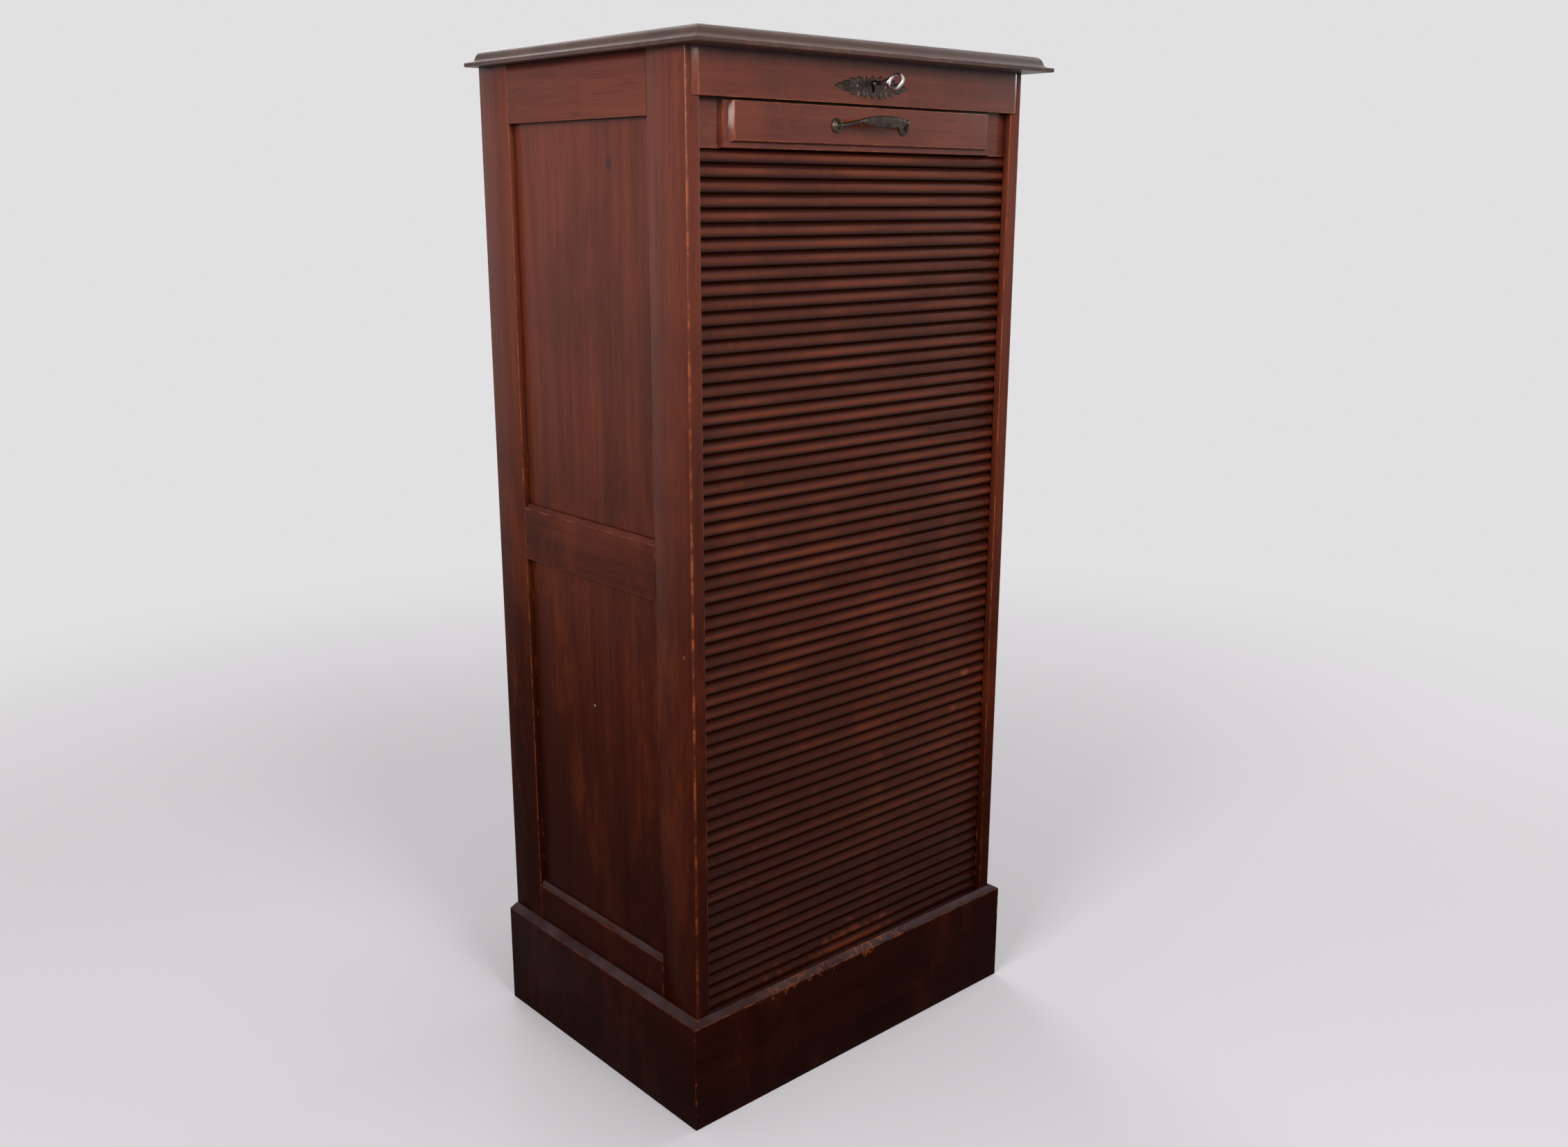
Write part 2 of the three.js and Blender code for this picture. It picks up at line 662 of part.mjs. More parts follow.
function buildLock() {
  const x = [-lockWidth / 2, lockWidth / 2];
  const z = [lockBottom, lockBottom + lockHeight];
  const body = block(x, [lockY[0], lockInnerY[1]], z);
  const room = block(widen(x, -lockWall), [lockInnerY[0], lockY[1] + cutOverrun], widen(z, -lockWall));
  const hookSlot = block(widen(hookX, slideClearance), widen(hookY, seatClearance),
    [z[0] - cutOverrun, z[0] + lockWall + cutOverrun]);
  const frontHole = new THREE.Shape(keyhole(seatClearance).getPoints(8));
  const frontHoleCutter = runAlongY(frontHole, widen([lockY[0], lockInnerY[0]], cutOverrun));

  // A ledge with a lip, which the bolt slides on
  const ledgeTop = boltZ[0] - seatClearance;
  const ledgeBottom = ledgeTop - boltGuideThickness;
  const lipFront = boltY[1] + seatClearance;
  const lipBack = lipFront + boltGuideThickness;
  const guide = polygon([
    [lockY[0], ledgeBottom], [lipBack, ledgeBottom], [lipBack, boltZ[1]],
    [lipFront, boltZ[1]], [lipFront, ledgeTop], [lockY[0], ledgeTop],
  ]);
  const guideX = [boltGuideStart, boltGuideStart + boltGuideLength];
  addPart('lock_case', join(cut(body, room, hookSlot, frontHoleCutter), runAlongX(guide, guideX)),
    finishes.lockSteel);

  const shankRadius = keyShankDiameter / 2 + seatClearance;
  const capY = [lockInnerY[1], lockY[1]];
  const shankRoom = cylinderAlongY(shankRadius, 0, widen(capY, cutOverrun), keyZ);
  addPart('lock_cap', cut(block(x, capY, z), shankRoom), finishes.lockSteel);

  // A bar with a tab below it, which the key's bit pushes along
  const tabX = [-boltTabGap - restTravel - boltTabWidth, -boltTabGap - restTravel];
  const tabBottom = boltZ[0] - boltTabDrop;
  const boltShape = polygon([
    [boltNoseX, boltZ[0]], [tabX[0], boltZ[0]], [tabX[0], tabBottom], [tabX[1], tabBottom],
    [tabX[1], boltZ[0]], [-boltNoseX, boltZ[0]], [-boltNoseX, boltZ[1]], [boltNoseX, boltZ[1]],
  ]);
  addPart('lock_bolt', runAlongY(boltShape, boltY), finishes.lockSteel);

  // A plate on the lead board with a hook that the bolt shoots under
  const plateX = [middle(hookX) - linkPlateLength / 2, middle(hookX) + linkPlateLength / 2];
  const plate = block(plateX, hookY, [leadTop, leadTop + linkPlateThickness]);
  const stemFront = boltY[1] + slideClearance;
  const stemBottom = leadTop + linkPlateThickness / 2;
  const headBottom = boltZ[1] + slideClearance;
  const headTop = headBottom + hookHeadHeight;
  const hook = polygon([
    [stemFront, stemBottom], [hookY[1], stemBottom], [hookY[1], headTop],
    [hookY[0], headTop], [hookY[0], headBottom], [stemFront, headBottom],
  ]);
  addPart('lock_hook', join(plate, runAlongX(hook, hookX)), finishes.lockSteel);
}

// The key is left part-turned in the lock: its flat plane leans from upright by keyRestTurn
function buildKey() {
  const key = new THREE.Group();
  key.position.set(0, 0, keyZ);
  key.rotation.y = THREE.MathUtils.degToRad(keyRestTurn);
  const shankRadius = keyShankDiameter / 2;
  const collarRadius = keyCollarDiameter / 2;
  const tailY = lockY[1] + slideClearance;
  const bowRadius = (keyBowLength - keyBowWire) / 2;
  const shankLength = tailY - keyBowY - bowRadius;
  const collarStart = tailY - railFaceY + escutcheonThickness + slideClearance;
  const collarEnd = collarStart + keyCollarLength;
  const shank = turnedForward([
    [0, 0], [shankRadius, 0], [shankRadius, collarStart], [collarRadius, collarStart],
    [collarRadius, collarEnd], [shankRadius, collarEnd], [shankRadius, shankLength], [0, shankLength],
  ], 0, tailY, 0, 16);
  const bow = new THREE.TorusGeometry(bowRadius, keyBowWire / 2, 8, 28);
  bow.rotateY(Math.PI / 2);
  bow.scale(1, 1, keyBowWidth / keyBowLength);
  bow.translate(0, keyBowY, 0);
  const bitY = [middle(boltY) - keyBitWidth / 2, middle(boltY) + keyBitWidth / 2];
  const bit = block([-keyBitThickness / 2, keyBitThickness / 2], bitY, [-keyBitReach, 0]);
  addPart('key', join(shank, solidOf(bow), bit), finishes.steel, key);
  cabinet.add(key);
}

buildTop();
buildSide(-1, 'left');
buildSide(1, 'right');
buildFrontRail();
buildStretchers();
buildSkirting();
buildInside();
buildBack();
buildTambour();
buildLeadBoard();
buildHandle();
buildEscutcheon();
buildLock();
buildKey();

// The origin is under the middle of the whole, from the front of the key's bow to the back of the top
const foremostY = keyBowY - keyBowLength / 2;
const rearmostY = rearY + topRearOverhang;
cabinet.position.y = -(foremostY + rearmostY) / 2;

export default cabinet;
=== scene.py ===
import json
import math
import random

import bpy
from mathutils import Matrix, Vector


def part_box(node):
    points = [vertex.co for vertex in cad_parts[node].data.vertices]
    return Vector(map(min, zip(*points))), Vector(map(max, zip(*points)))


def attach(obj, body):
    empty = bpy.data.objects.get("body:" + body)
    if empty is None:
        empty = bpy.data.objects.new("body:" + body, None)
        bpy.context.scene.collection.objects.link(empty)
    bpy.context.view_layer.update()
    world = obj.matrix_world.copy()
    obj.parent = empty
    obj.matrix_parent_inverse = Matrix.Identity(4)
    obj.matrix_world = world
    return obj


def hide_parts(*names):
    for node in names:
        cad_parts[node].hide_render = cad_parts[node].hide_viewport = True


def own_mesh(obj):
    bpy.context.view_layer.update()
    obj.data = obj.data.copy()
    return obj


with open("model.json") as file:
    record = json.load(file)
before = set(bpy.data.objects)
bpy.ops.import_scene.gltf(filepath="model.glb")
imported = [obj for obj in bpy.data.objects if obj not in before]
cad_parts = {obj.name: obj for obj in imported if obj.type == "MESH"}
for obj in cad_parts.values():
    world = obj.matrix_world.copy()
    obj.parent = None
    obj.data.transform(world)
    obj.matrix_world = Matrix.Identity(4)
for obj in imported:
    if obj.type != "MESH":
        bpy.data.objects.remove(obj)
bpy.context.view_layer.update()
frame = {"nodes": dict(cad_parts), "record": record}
print("frame loaded:", len(frame["nodes"]), "solids")

mm = 0.001
edgeSlot = 1  # the second material of a piece goes on its rounded edges
longEdge = 40 * mm  # an edge longer than this runs the length of its board
rounding = 0.02 * mm  # two measures that differ by less are the same
loosePoints = 0.005 * mm  # corners so near are one corner
flatAngle = math.radians(0.5)  # and faces that turn by less are one face
layToX = (0, math.radians(90), 0)  # new round shapes stand on Z, and these turns lay them down
layToY = (math.radians(90), 0, 0)


# Picking and placing

def choose(*pieces):
    bpy.ops.object.select_all(action="DESELECT")
    for piece in pieces:
        piece.select_set(True)
    if pieces:
        bpy.context.view_layer.objects.active = pieces[0]


def pick(piece, kind, test):
    # selects corners or edges by their place, or faces by the way they face, and stays in edit mode
    choose(piece)
    mesh = piece.data
    bpy.context.tool_settings.mesh_select_mode = [kind == each for each in ("VERT", "EDGE", "FACE")]
    for vertex in mesh.vertices:
        vertex.select = kind == "VERT" and test(vertex.co)
    for edge in mesh.edges:
        edge.select = kind == "EDGE" and test(*[mesh.vertices[i].co for i in edge.vertices])
    for face in mesh.polygons:
        face.select = kind == "FACE" and test(face.normal)
    bpy.ops.object.mode_set(mode="EDIT")


def pickFaces(piece, direction):
    squarely = 0.9
    pick(piece, "FACE", lambda normal: normal.dot(Vector(direction)) > squarely)


def same(first, second):
    return abs(first - second) < rounding


def runsUp(a, b):
    return abs(a.z - b.z) > longEdge and same(a.x, b.x) and same(a.y, b.y)


def edgesAtFront(low):
    # a test for the edges of a front face, from the piece's lowest corner
    return lambda a, b: same(a.y, low[1]) and same(b.y, low[1])


def editAll(piece):
    choose(piece)
    bpy.ops.object.mode_set(mode="EDIT")
    bpy.ops.mesh.select_all(action="SELECT")


def leaveEdit():
    bpy.ops.object.mode_set(mode="OBJECT")


def extrude(*move):
    bpy.ops.mesh.extrude_region_move(TRANSFORM_OT_translate={"value": move})


def resize(shares, middle):
    bpy.ops.transform.resize(value=shares, center_override=middle)


def keepPlace(piece):
    # a piece's place, turn and size go into its mesh
    choose(piece)
    bpy.ops.object.transform_apply(location=True, rotation=True, scale=True)


def flip(piece):
    # over to the other side of the middle
    piece.scale.x = -1
    keepPlace(piece)
    editAll(piece)
    bpy.ops.mesh.normals_make_consistent(inside=False)
    leaveEdit()


def plainName(node):
    # left_top_rail becomes leftTopRail
    first, *others = node.split("_")
    return first + "".join(word.title() for word in others)


def newest(name, finish):
    # names what has just been made, and gives it its finish
    piece = bpy.context.object
    piece.name = name
    piece.data.name = name
    piece.data.materials.clear()
    for material in finish["materials"]:
        piece.data.materials.append(material)
    return piece


def block(name, low, high, finish):
    choose()
    middle = [(a + b) / 2 for a, b in zip(low, high)]
    bpy.ops.mesh.primitive_cube_add(size=1, location=middle)
    piece = newest(name, finish)
    piece.scale = [b - a for a, b in zip(low, high)]
    keepPlace(piece)
    return piece


def ball(half, place, sides=20, rings=12, turn=layToX):
    choose()
    bpy.ops.mesh.primitive_uv_sphere_add(segments=sides, ring_count=rings, radius=1, rotation=turn)
    piece = bpy.context.object
    keepPlace(piece)
    piece.scale = half
    piece.location = place
    keepPlace(piece)
    return piece


def turned(start, profile, sides):
    # grows towards the front from its start: each step is a radius and how far out it lies
    x, y, z = start
    (radius, out), (nextRadius, nextOut) = profile[:2]
    choose()
    bpy.ops.mesh.primitive_cylinder_add(vertices=sides, radius=radius, depth=nextOut - out,
                                        location=(x, y - (out + nextOut) / 2, z), rotation=layToY)
    piece = bpy.context.object
    keepPlace(piece)
    pickFaces(piece, (0, -1, 0))
    resize((nextRadius / radius, 1, nextRadius / radius), (x, y - nextOut, z))
    for (radius, out), (nextRadius, nextOut) in zip(profile[1:], profile[2:]):
        extrude(0, out - nextOut, 0)
        resize((nextRadius / radius, 1, nextRadius / radius), (x, y - nextOut, z))
    leaveEdit()
    return piece


def copyOfNode(node, name, finish):
    # the solid itself, with its loose triangles merged back into flat faces
    piece = bpy.data.objects.new(name, frame["nodes"][node].data.copy())
    bpy.context.collection.objects.link(piece)
    choose(piece)
    newest(name, finish)
    bpy.ops.mesh.customdata_custom_splitnormals_clear()
    editAll(piece)
    bpy.ops.mesh.remove_doubles(threshold=loosePoints)
    bpy.ops.mesh.dissolve_limited(angle_limit=flatAngle)
    leaveEdit()
    return piece


def modify(piece, kind, **settings):
    choose(piece)
    modifier = piece.modifiers.new(kind.title(), kind)
    for name, value in settings.items():
        setattr(modifier, name, value)
    bpy.ops.object.modifier_apply(modifier=modifier.name)


def softenAll(piece, width, segments=2):
    modify(piece, "BEVEL", width=width, segments=segments, limit_method="ANGLE", material=edgeSlot)


def softenEdges(piece, width, test, segments=2):
    pick(piece, "EDGE", test)
    bpy.ops.mesh.bevel(offset=width, segments=segments, material=edgeSlot, affect="EDGES")
    leaveEdit()


def cutAway(piece, cutter):
    modify(piece, "BOOLEAN", operation="DIFFERENCE", solver="EXACT", object=cutter)
    bpy.data.objects.remove(cutter)


def fuse(name, pieces, finish, voxel, rounds):
    # several overlapping lumps become one cast shape
    choose(*pieces)
    bpy.ops.object.join()
    piece = newest(name, finish)
    modify(piece, "REMESH", mode="VOXEL", voxel_size=voxel)
    modify(piece, "SMOOTH", iterations=rounds)
    return piece


def settle(piece, body, finish, *nodes, smoothAngle=35):
    # what a finished piece moves with, and the solids that it stands for
    choose(piece)
    bpy.ops.object.shade_smooth_by_angle(angle=math.radians(smoothAngle))
    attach(piece, body)
    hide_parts(*nodes)


# Camera, fitted to corners picked in the photograph

cameraSettings = {
    "place": (-1.212, -1.38225, 1.087),
    "azimuth": 41.96,
    "tilt": 14.62,
    "roll": 0.19,
    "focalPixels": 2091.9,
    "imageWidth": 2259,
    "sensorWidth": 36,
}


def addCamera(s):
    bpy.ops.object.camera_add(location=s["place"])
    camera = bpy.context.object
    camera.name = "photoCamera"
    turn = Matrix.Rotation(math.radians(-s["azimuth"]), 3, "Z")
    turn = turn @ Matrix.Rotation(math.radians(90 - s["tilt"]), 3, "X")
    turn = turn @ Matrix.Rotation(math.radians(s["roll"]), 3, "Z")
    camera.rotation_euler = turn.to_euler()
    camera.data.sensor_width = s["sensorWidth"]
    camera.data.lens = s["sensorWidth"] * s["focalPixels"] / s["imageWidth"]
    bpy.context.scene.camera = camera


addCamera(cameraSettings)
bpy.context.scene.view_settings.view_transform = "Standard"
print("camera placed")


# Building blocks for materials. A grain is a noise's scale, detail, roughness and distortion.
# A reach, or a pair of heights, runs from one value to another and gives 0 to 1, or else the
# two shares after them. A relief is a bump's strength and depth.

def paint(red, green, blue):
    # screen colour, 0 to 255, as the linear value that a socket wants
    linear = [c / 3294.6 if c <= 10 else ((c / 255 + 0.055) / 1.055) ** 2.4 for c in (red, green, blue)]
    return (*linear, 1)


def plug(tree, socket, value):
    if isinstance(value, bpy.types.NodeSocket):
        tree.links.new(value, socket)
    else:
        socket.default_value = value


def addNode(tree, kind, settings=None, **sockets):
    made = tree.nodes.new("ShaderNode" + kind)
    for name, value in (settings or {}).items():
        setattr(made, name, value)
    for name, value in sockets.items():
        plug(tree, made.inputs[name], value)
    return made


def objectPlace(tree):
    return addNode(tree, "TexCoord").outputs["Object"]


def axes(tree, vector):
    return addNode(tree, "SeparateXYZ", Vector=vector).outputs


def facing(tree):
    return axes(tree, addNode(tree, "NewGeometry").outputs["Normal"])


def maths(tree, operation, first, second):
    made = addNode(tree, "Math", {"operation": operation, "use_clamp": True})
    plug(tree, made.inputs[0], first)
    plug(tree, made.inputs[1], second)
    return made.outputs[0]


def times(tree, first, second):
    return maths(tree, "MULTIPLY", first, second)


def vectorMaths(tree, operation, *vectors):
    made = addNode(tree, "VectorMath", {"operation": operation})
    for socket, vector in zip(made.inputs, vectors):
        plug(tree, socket, vector)
    return made.outputs


def spread(tree, value, low, high, toLow=0.0, toHigh=1.0):
    made = addNode(tree, "MapRange", {"interpolation_type": "SMOOTHSTEP"}, Value=value)
    for name, number in (("From Min", low), ("From Max", high), ("To Min", toLow), ("To Max", toHigh)):
        made.inputs[name].default_value = number
    return made.outputs[0]


def noise(tree, vector, scale, detail, roughness, distortion=0.0):
    return addNode(tree, "TexNoise", Vector=vector, Scale=scale, Detail=detail, Roughness=roughness,
                   Distortion=distortion).outputs[0]


def stretch(tree, vector, scale, place=(0, 0, 0)):
    return addNode(tree, "Mapping", Vector=vector, Scale=scale, Location=place).outputs[0]


def patches(tree, vector, grain, reach):
    return spread(tree, noise(tree, vector, *grain), *reach)


mixInputs = (0, 6, 7)  # where a Mix node has its share and its two colours
mixOutput = 2


def mixColours(tree, share, first, second, blend="MIX"):
    made = addNode(tree, "Mix", {"data_type": "RGBA", "blend_type": blend})
    for number, value in zip(mixInputs, (share, first, second)):
        plug(tree, made.inputs[number], value)
    return made.outputs[mixOutput]


def colourSteps(tree, value, places, colours):
    ramp = addNode(tree, "ValToRGB", Fac=value)
    elements = ramp.color_ramp.elements
    while len(elements) < len(places):
        elements.new(0.5)
    for element, place, colour in zip(elements, places, colours):
        element.position = place
        element.color = colour
    return ramp.outputs[0]


def newMaterial(name):
    material = bpy.data.materials.new(name)
    material.use_nodes = True
    return material, material.node_tree, material.node_tree.nodes["Principled BSDF"]


def addBump(tree, shader, height, strength, depth):
    bump = addNode(tree, "Bump", Strength=strength, Distance=depth, Height=height)
    plug(tree, shader.inputs["Normal"], bump.outputs[0])


def repaint(material, layer, *more):
    # a layer takes the colour that the shader shows so far and gives back the next one
    tree = material.node_tree
    socket = tree.nodes["Principled BSDF"].inputs["Base Color"]
    plug(tree, socket, layer(tree, socket.links[0].from_socket, *more))


raySamples = {"samples": 6}
offEdge = (0.995, 0.93)  # how well a softened normal matches the real one, beside an edge and on it


def rubbed(tree, place, radius, grain, reach):
    # share of bare surface near a piece's edges, broken up by noise
    soft = addNode(tree, "Bevel", raySamples, Radius=radius).outputs[0]
    own = addNode(tree, "NewGeometry").outputs["Normal"]
    match = vectorMaths(tree, "DOT_PRODUCT", soft, own)["Value"]
    return times(tree, spread(tree, match, *offEdge), patches(tree, place, grain, reach))


# Stained wood

grainAlongX = (0.045, 1, 1)
grainAlongY = (1, 0.045, 1)
grainAlongZ = (1, 1, 0.045)

stainedLook = {
    "dark": paint(66, 27, 17),
    "mid": paint(112, 51, 35),
    "light": paint(138, 69, 48),
    "rubbed": paint(166, 88, 48),
    "pore": paint(36, 14, 9),
    "warm": paint(122, 54, 26),  # where the stain has gone thin
    "broadGrain": (15, 3, 0.5, 0.6),
    "streakGrain": (95, 5, 0.62),
    "fineGrain": (430, 3, 0.6),
    "toneSteps": (0.2, 0.5, 0.8),
    "poreReach": (0.56, 0.72),
    "poreDepth": 0.45,
    "blotchGrain": (4.5, 4, 0.55),
    "blotchReach": (0.45, 0.7),
    "blotchDepth": 0.45,
    # painted shade, darker towards the floor where the light falls off
    "sootHeight": 1.25,
    "sootSteps": [
        (0, 0.1), (0.1, 0.12), (0.117, 0.15), (0.2, 0.18), (0.42, 0.4), (0.62, 0.71), (0.9, 1),
    ],
    "sootTint": (1, 1.18, 1.3),
    # painted shade towards the back, low down
    "rearReach": (0.03, 0.2, 0, 0.68),
    "rearHeights": (0.95, 0.2, 0.1, 1),
    "warmStretch": (1, 1, 0.3),
    "warmPlace": (5, 2, 8),
    "warmGrain": (13, 8, 0.7, 0.3),
    "warmReach": (0.48, 0.66, 0, 0.38),
    "warmHeights": (0.14, 0.5, 0.2, 1),
    "rubRadius": 3 * mm,
    "rubGrain": (55, 5, 0.65),
    "rubReach": (0.52, 0.66),
    "bareGrain": (38, 5, 0.7),  # on the rounded edges themselves
    "bareReach": (0.42, 0.62, 0.06, 0.75),
    "bareHeights": (0.1, 0.8, 0.4, 1),
    # painted shade in corners and recesses, from ambient occlusion
    "cornerDistance": 14 * mm,
    "cornerReach": (0.85, 0.4, 0, 0.75),
    "dullReach": (0.3, 0.7, 0.35, 0.5),
    "fineDullness": 0.08,
    "shine": 0,
    "polish": (0.06, 0.48),  # low down the polish has gone
    "polishHeights": (0.4, 1.15),
    "polishRoughness": 0.24,
    "streakRelief": 0.6,
    "poreRelief": 0.4,
    "relief": (0.2, 0.5 * mm),
}


def woodMaterial(name, look, grain, bare):
    material, tree, shader = newMaterial(name)
    place = objectPlace(tree)
    parts = axes(tree, place)
    along = stretch(tree, place, grain)
    broad = noise(tree, along, *look["broadGrain"])
    streaks = noise(tree, along, *look["streakGrain"])
    fine = noise(tree, along, *look["fineGrain"])
    blotches = noise(tree, place, *look["blotchGrain"])

    tone = maths(tree, "ADD", times(tree, broad, 0.5), times(tree, streaks, 0.5))
    colour = colourSteps(tree, tone, look["toneSteps"], (look["dark"], look["mid"], look["light"]))
    pores = spread(tree, fine, *look["poreReach"])
    colour = mixColours(tree, times(tree, pores, look["poreDepth"]), colour, look["pore"])
    darker = mixColours(tree, look["blotchDepth"], colour, look["dark"])
    colour = mixColours(tree, spread(tree, blotches, *look["blotchReach"]), colour, darker)

    # painted shade: darker towards the floor, where the light falls off
    level = maths(tree, "DIVIDE", parts["Z"], look["sootHeight"])
    heights, shares = zip(*look["sootSteps"])
    tints = [(*[share ** tint for tint in look["sootTint"]], 1) for share in shares]
    colour = mixColours(tree, 1, colour, colourSteps(tree, level, heights, tints), "MULTIPLY")

    # and painted shade towards the back, low down
    behind = times(tree, spread(tree, parts["Y"], *look["rearReach"]),
                   spread(tree, parts["Z"], *look["rearHeights"]))
    colour = mixColours(tree, behind, colour, look["pore"])

    flames = stretch(tree, place, look["warmStretch"], look["warmPlace"])
    thin = times(tree, patches(tree, flames, look["warmGrain"], look["warmReach"]),
                 spread(tree, parts["Z"], *look["warmHeights"]))
    colour = mixColours(tree, thin, colour, look["warm"])

    if bare:
        worn = times(tree, patches(tree, place, look["bareGrain"], look["bareReach"]),
                     spread(tree, parts["Z"], *look["bareHeights"]))
    else:
        worn = rubbed(tree, place, look["rubRadius"], look["rubGrain"], look["rubReach"])
    colour = mixColours(tree, worn, colour, look["rubbed"])
    # painted shade in corners and recesses, from ambient occlusion
    if look["cornerReach"]:
        corner = addNode(tree, "AmbientOcclusion", raySamples, Distance=look["cornerDistance"])
        inCornerShade = spread(tree, corner.outputs["AO"], *look["cornerReach"])
        colour = mixColours(tree, inCornerShade, colour, look["pore"])
    plug(tree, shader.inputs["Base Color"], colour)

    dull = spread(tree, blotches, *look["dullReach"])
    roughness = maths(tree, "ADD", dull, times(tree, fine, look["fineDullness"]))
    plug(tree, shader.inputs["Roughness"], roughness)
    shader.inputs["Specular IOR Level"].default_value = look["shine"]
    low, high = look["polish"]
    polish = low if low == high else spread(tree, parts["Z"], *look["polishHeights"], low, high)
    plug(tree, shader.inputs["Coat Weight"], polish)
    shader.inputs["Coat Roughness"].default_value = look["polishRoughness"]
    relief = maths(tree, "SUBTRACT", times(tree, streaks, look["streakRelief"]),
                   times(tree, pores, look["poreRelief"]))
    addBump(tree, shader, relief, *look["relief"])
    return material


def woodFinish(name, slot, look, grain):
    flat = woodMaterial(name, look, grain, False)
    edge = woodMaterial(name + " edge", look, grain, True)
    return {"slot": slot, "materials": [flat, edge]}


bareLook = {
    **stainedLook,
    "dark": paint(104, 76, 50),
    "mid": paint(142, 108, 74),
    "light": paint(166, 130, 92),
    "rubbed": paint(180, 146, 108),
    "pore": paint(84, 60, 38),
    "sootSteps": [(0, 0.7), (0.3, 0.9), (0.6, 1)],
    "warmReach": (0.48, 0.66, 0, 0),
    "cornerReach": None,
    "dullReach": (0.3, 0.7, 0.57, 0.72),
    "shine": 0.2,
    "polish": (0, 0),
}

topLook = {
    **stainedLook,
    "dark": paint(30, 18, 13),
    "mid": paint(74, 47, 37),
    "light": paint(108, 76, 60),
    "rubbed": paint(140, 92, 66),
    "pore": paint(30, 20, 17),
    "warmReach": (0.48, 0.66, 0, 0.1),
    "dullReach": (0.3, 0.7, 0.37, 0.52),
    "shine": 0.2,
    "polish": (0.4, 0.4),
    "polishRoughness": 0.35,
}

frontLook = {**stainedLook, "polish": (0.06, 0.8)}  # more hands have polished the front
railLook = {**stainedLook, "rubbed": paint(138, 70, 44)}  # and fewer have rubbed the rails of the sides

slatLook = {
    **stainedLook,
    "dark": paint(54, 24, 16),
    "mid": paint(80, 36, 25),
    "light": paint(99, 48, 32),
    "ridge": paint(127, 62, 41),
    # painted shade colour for the grooves and the slats' undersides
    "groove": paint(57, 24, 16),
    "sootSteps": [(0, 0.12), (0.16, 0.17), (0.5, 0.6), (0.9, 0.9)],
    "cornerReach": None,
    "polish": (0.17, 0.4),
    "toneStretch": (0.4, 0.02, 66),  # so fine in height that each slat has a tone of its own
    "toneGrain": (1, 1, 0.5),
    "toneReach": (0.35, 0.7, 0, 0.4),
    "handMiddle": (0.17, 0, 0.42),  # of the patch that hands have rubbed lighter
    "handReach": (0.34, 0.04),  # metres from there
    "handStretch": (0.4, 1, 1),
    "handGrain": (24, 4, 0.6),
    "handPatches": (0.35, 0.65, 0.15, 0.45),
    "ridgeDepth": 1.6 * mm,
    "ridgeHeights": (0.1, 0.9, 0.2, 1),
    "ridgeStretch": (0.12, 1, 1),
    "ridgeGrain": (40, 3, 0.5),
    "ridgePatches": (0.4, 0.66, 0.2, 0.75),
    "grooveHeights": (0.1, 0.7, 0.6, 1),
    "undersides": (0.05, -0.7, 0, 0.6),
    "fullDirtShare": 0.36,  # of the groove's depth, and painted shade hides the wood from there on
    "grooveDirt": 0.9,
}


def slatWear(tree, colour, look, ridgeY, grooveY):
    place = objectPlace(tree)
    parts = axes(tree, place)
    tones = stretch(tree, place, look["toneStretch"])
    deep = patches(tree, tones, look["toneGrain"], look["toneReach"])
    colour = mixColours(tree, deep, colour, look["dark"])

    # stain rubbed thin by hands, and along the ridges
    away = vectorMaths(tree, "DISTANCE", place, look["handMiddle"])["Value"]
    hands = stretch(tree, place, look["handStretch"])
    byHand = times(tree, spread(tree, away, *look["handReach"]),
                   patches(tree, hands, look["handGrain"], look["handPatches"]))
    colour = mixColours(tree, byHand, colour, look["ridge"])
    onRidge = times(tree, spread(tree, parts["Y"], ridgeY + look["ridgeDepth"], ridgeY),
                    spread(tree, parts["Z"], *look["ridgeHeights"]))
    ridges = stretch(tree, place, look["ridgeStretch"])
    thin = patches(tree, ridges, look["ridgeGrain"], look["ridgePatches"])
    colour = mixColours(tree, times(tree, onRidge, thin), colour, look["ridge"])
    colour = spotted(tree, colour, slatSpots)

    # painted shade in the grooves between the slats and on the slats' undersides, darker towards the
    # floor
    grooveShadeLow = spread(tree, parts["Z"], *look["grooveHeights"])
    groove = mixColours(tree, 1, look["groove"], grooveShadeLow, "MULTIPLY")
    colour = mixColours(tree, spread(tree, facing(tree)["Z"], *look["undersides"]), colour, groove)
    fullY = ridgeY + look["fullDirtShare"] * (grooveY - ridgeY)
    inGrooveShade = spread(tree, parts["Y"], ridgeY, fullY, 0, look["grooveDirt"])
    return mixColours(tree, inGrooveShade, colour, groove)


boardDustAndSheen = {
    "colour": paint(78, 64, 65),
    "upwards": (0.25, 0.95),
    "level": (0.985, 0.999, 1, 1),
    "grain": (18, 5, 0.6),
    "patches": (0.3, 0.7, 0.3, 0.75),
    "heights": (0.25, 0.6, 1, 0.15),
}

topDustAndSheen = {
    **boardDustAndSheen,
    "colour": paint(128, 114, 108),
    "level": (0.985, 0.999, 1, 0.3),  # less dust and painted sheen on the flat top itself than on its moulding
    "heights": (0.25, 0.6, 1, 1),
}


def dustAndSheen(tree, colour, s):
    # grey dust and painted sheen on what faces up
    place = objectPlace(tree)
    upwards = facing(tree)["Z"]
    up = times(tree, spread(tree, upwards, *s["upwards"]), spread(tree, upwards, *s["level"]))
    share = times(tree, times(tree, up, patches(tree, place, s["grain"], s["patches"])),
                  spread(tree, axes(tree, place)["Z"], *s["heights"]))
    return mixColours(tree, share, colour, s["colour"])


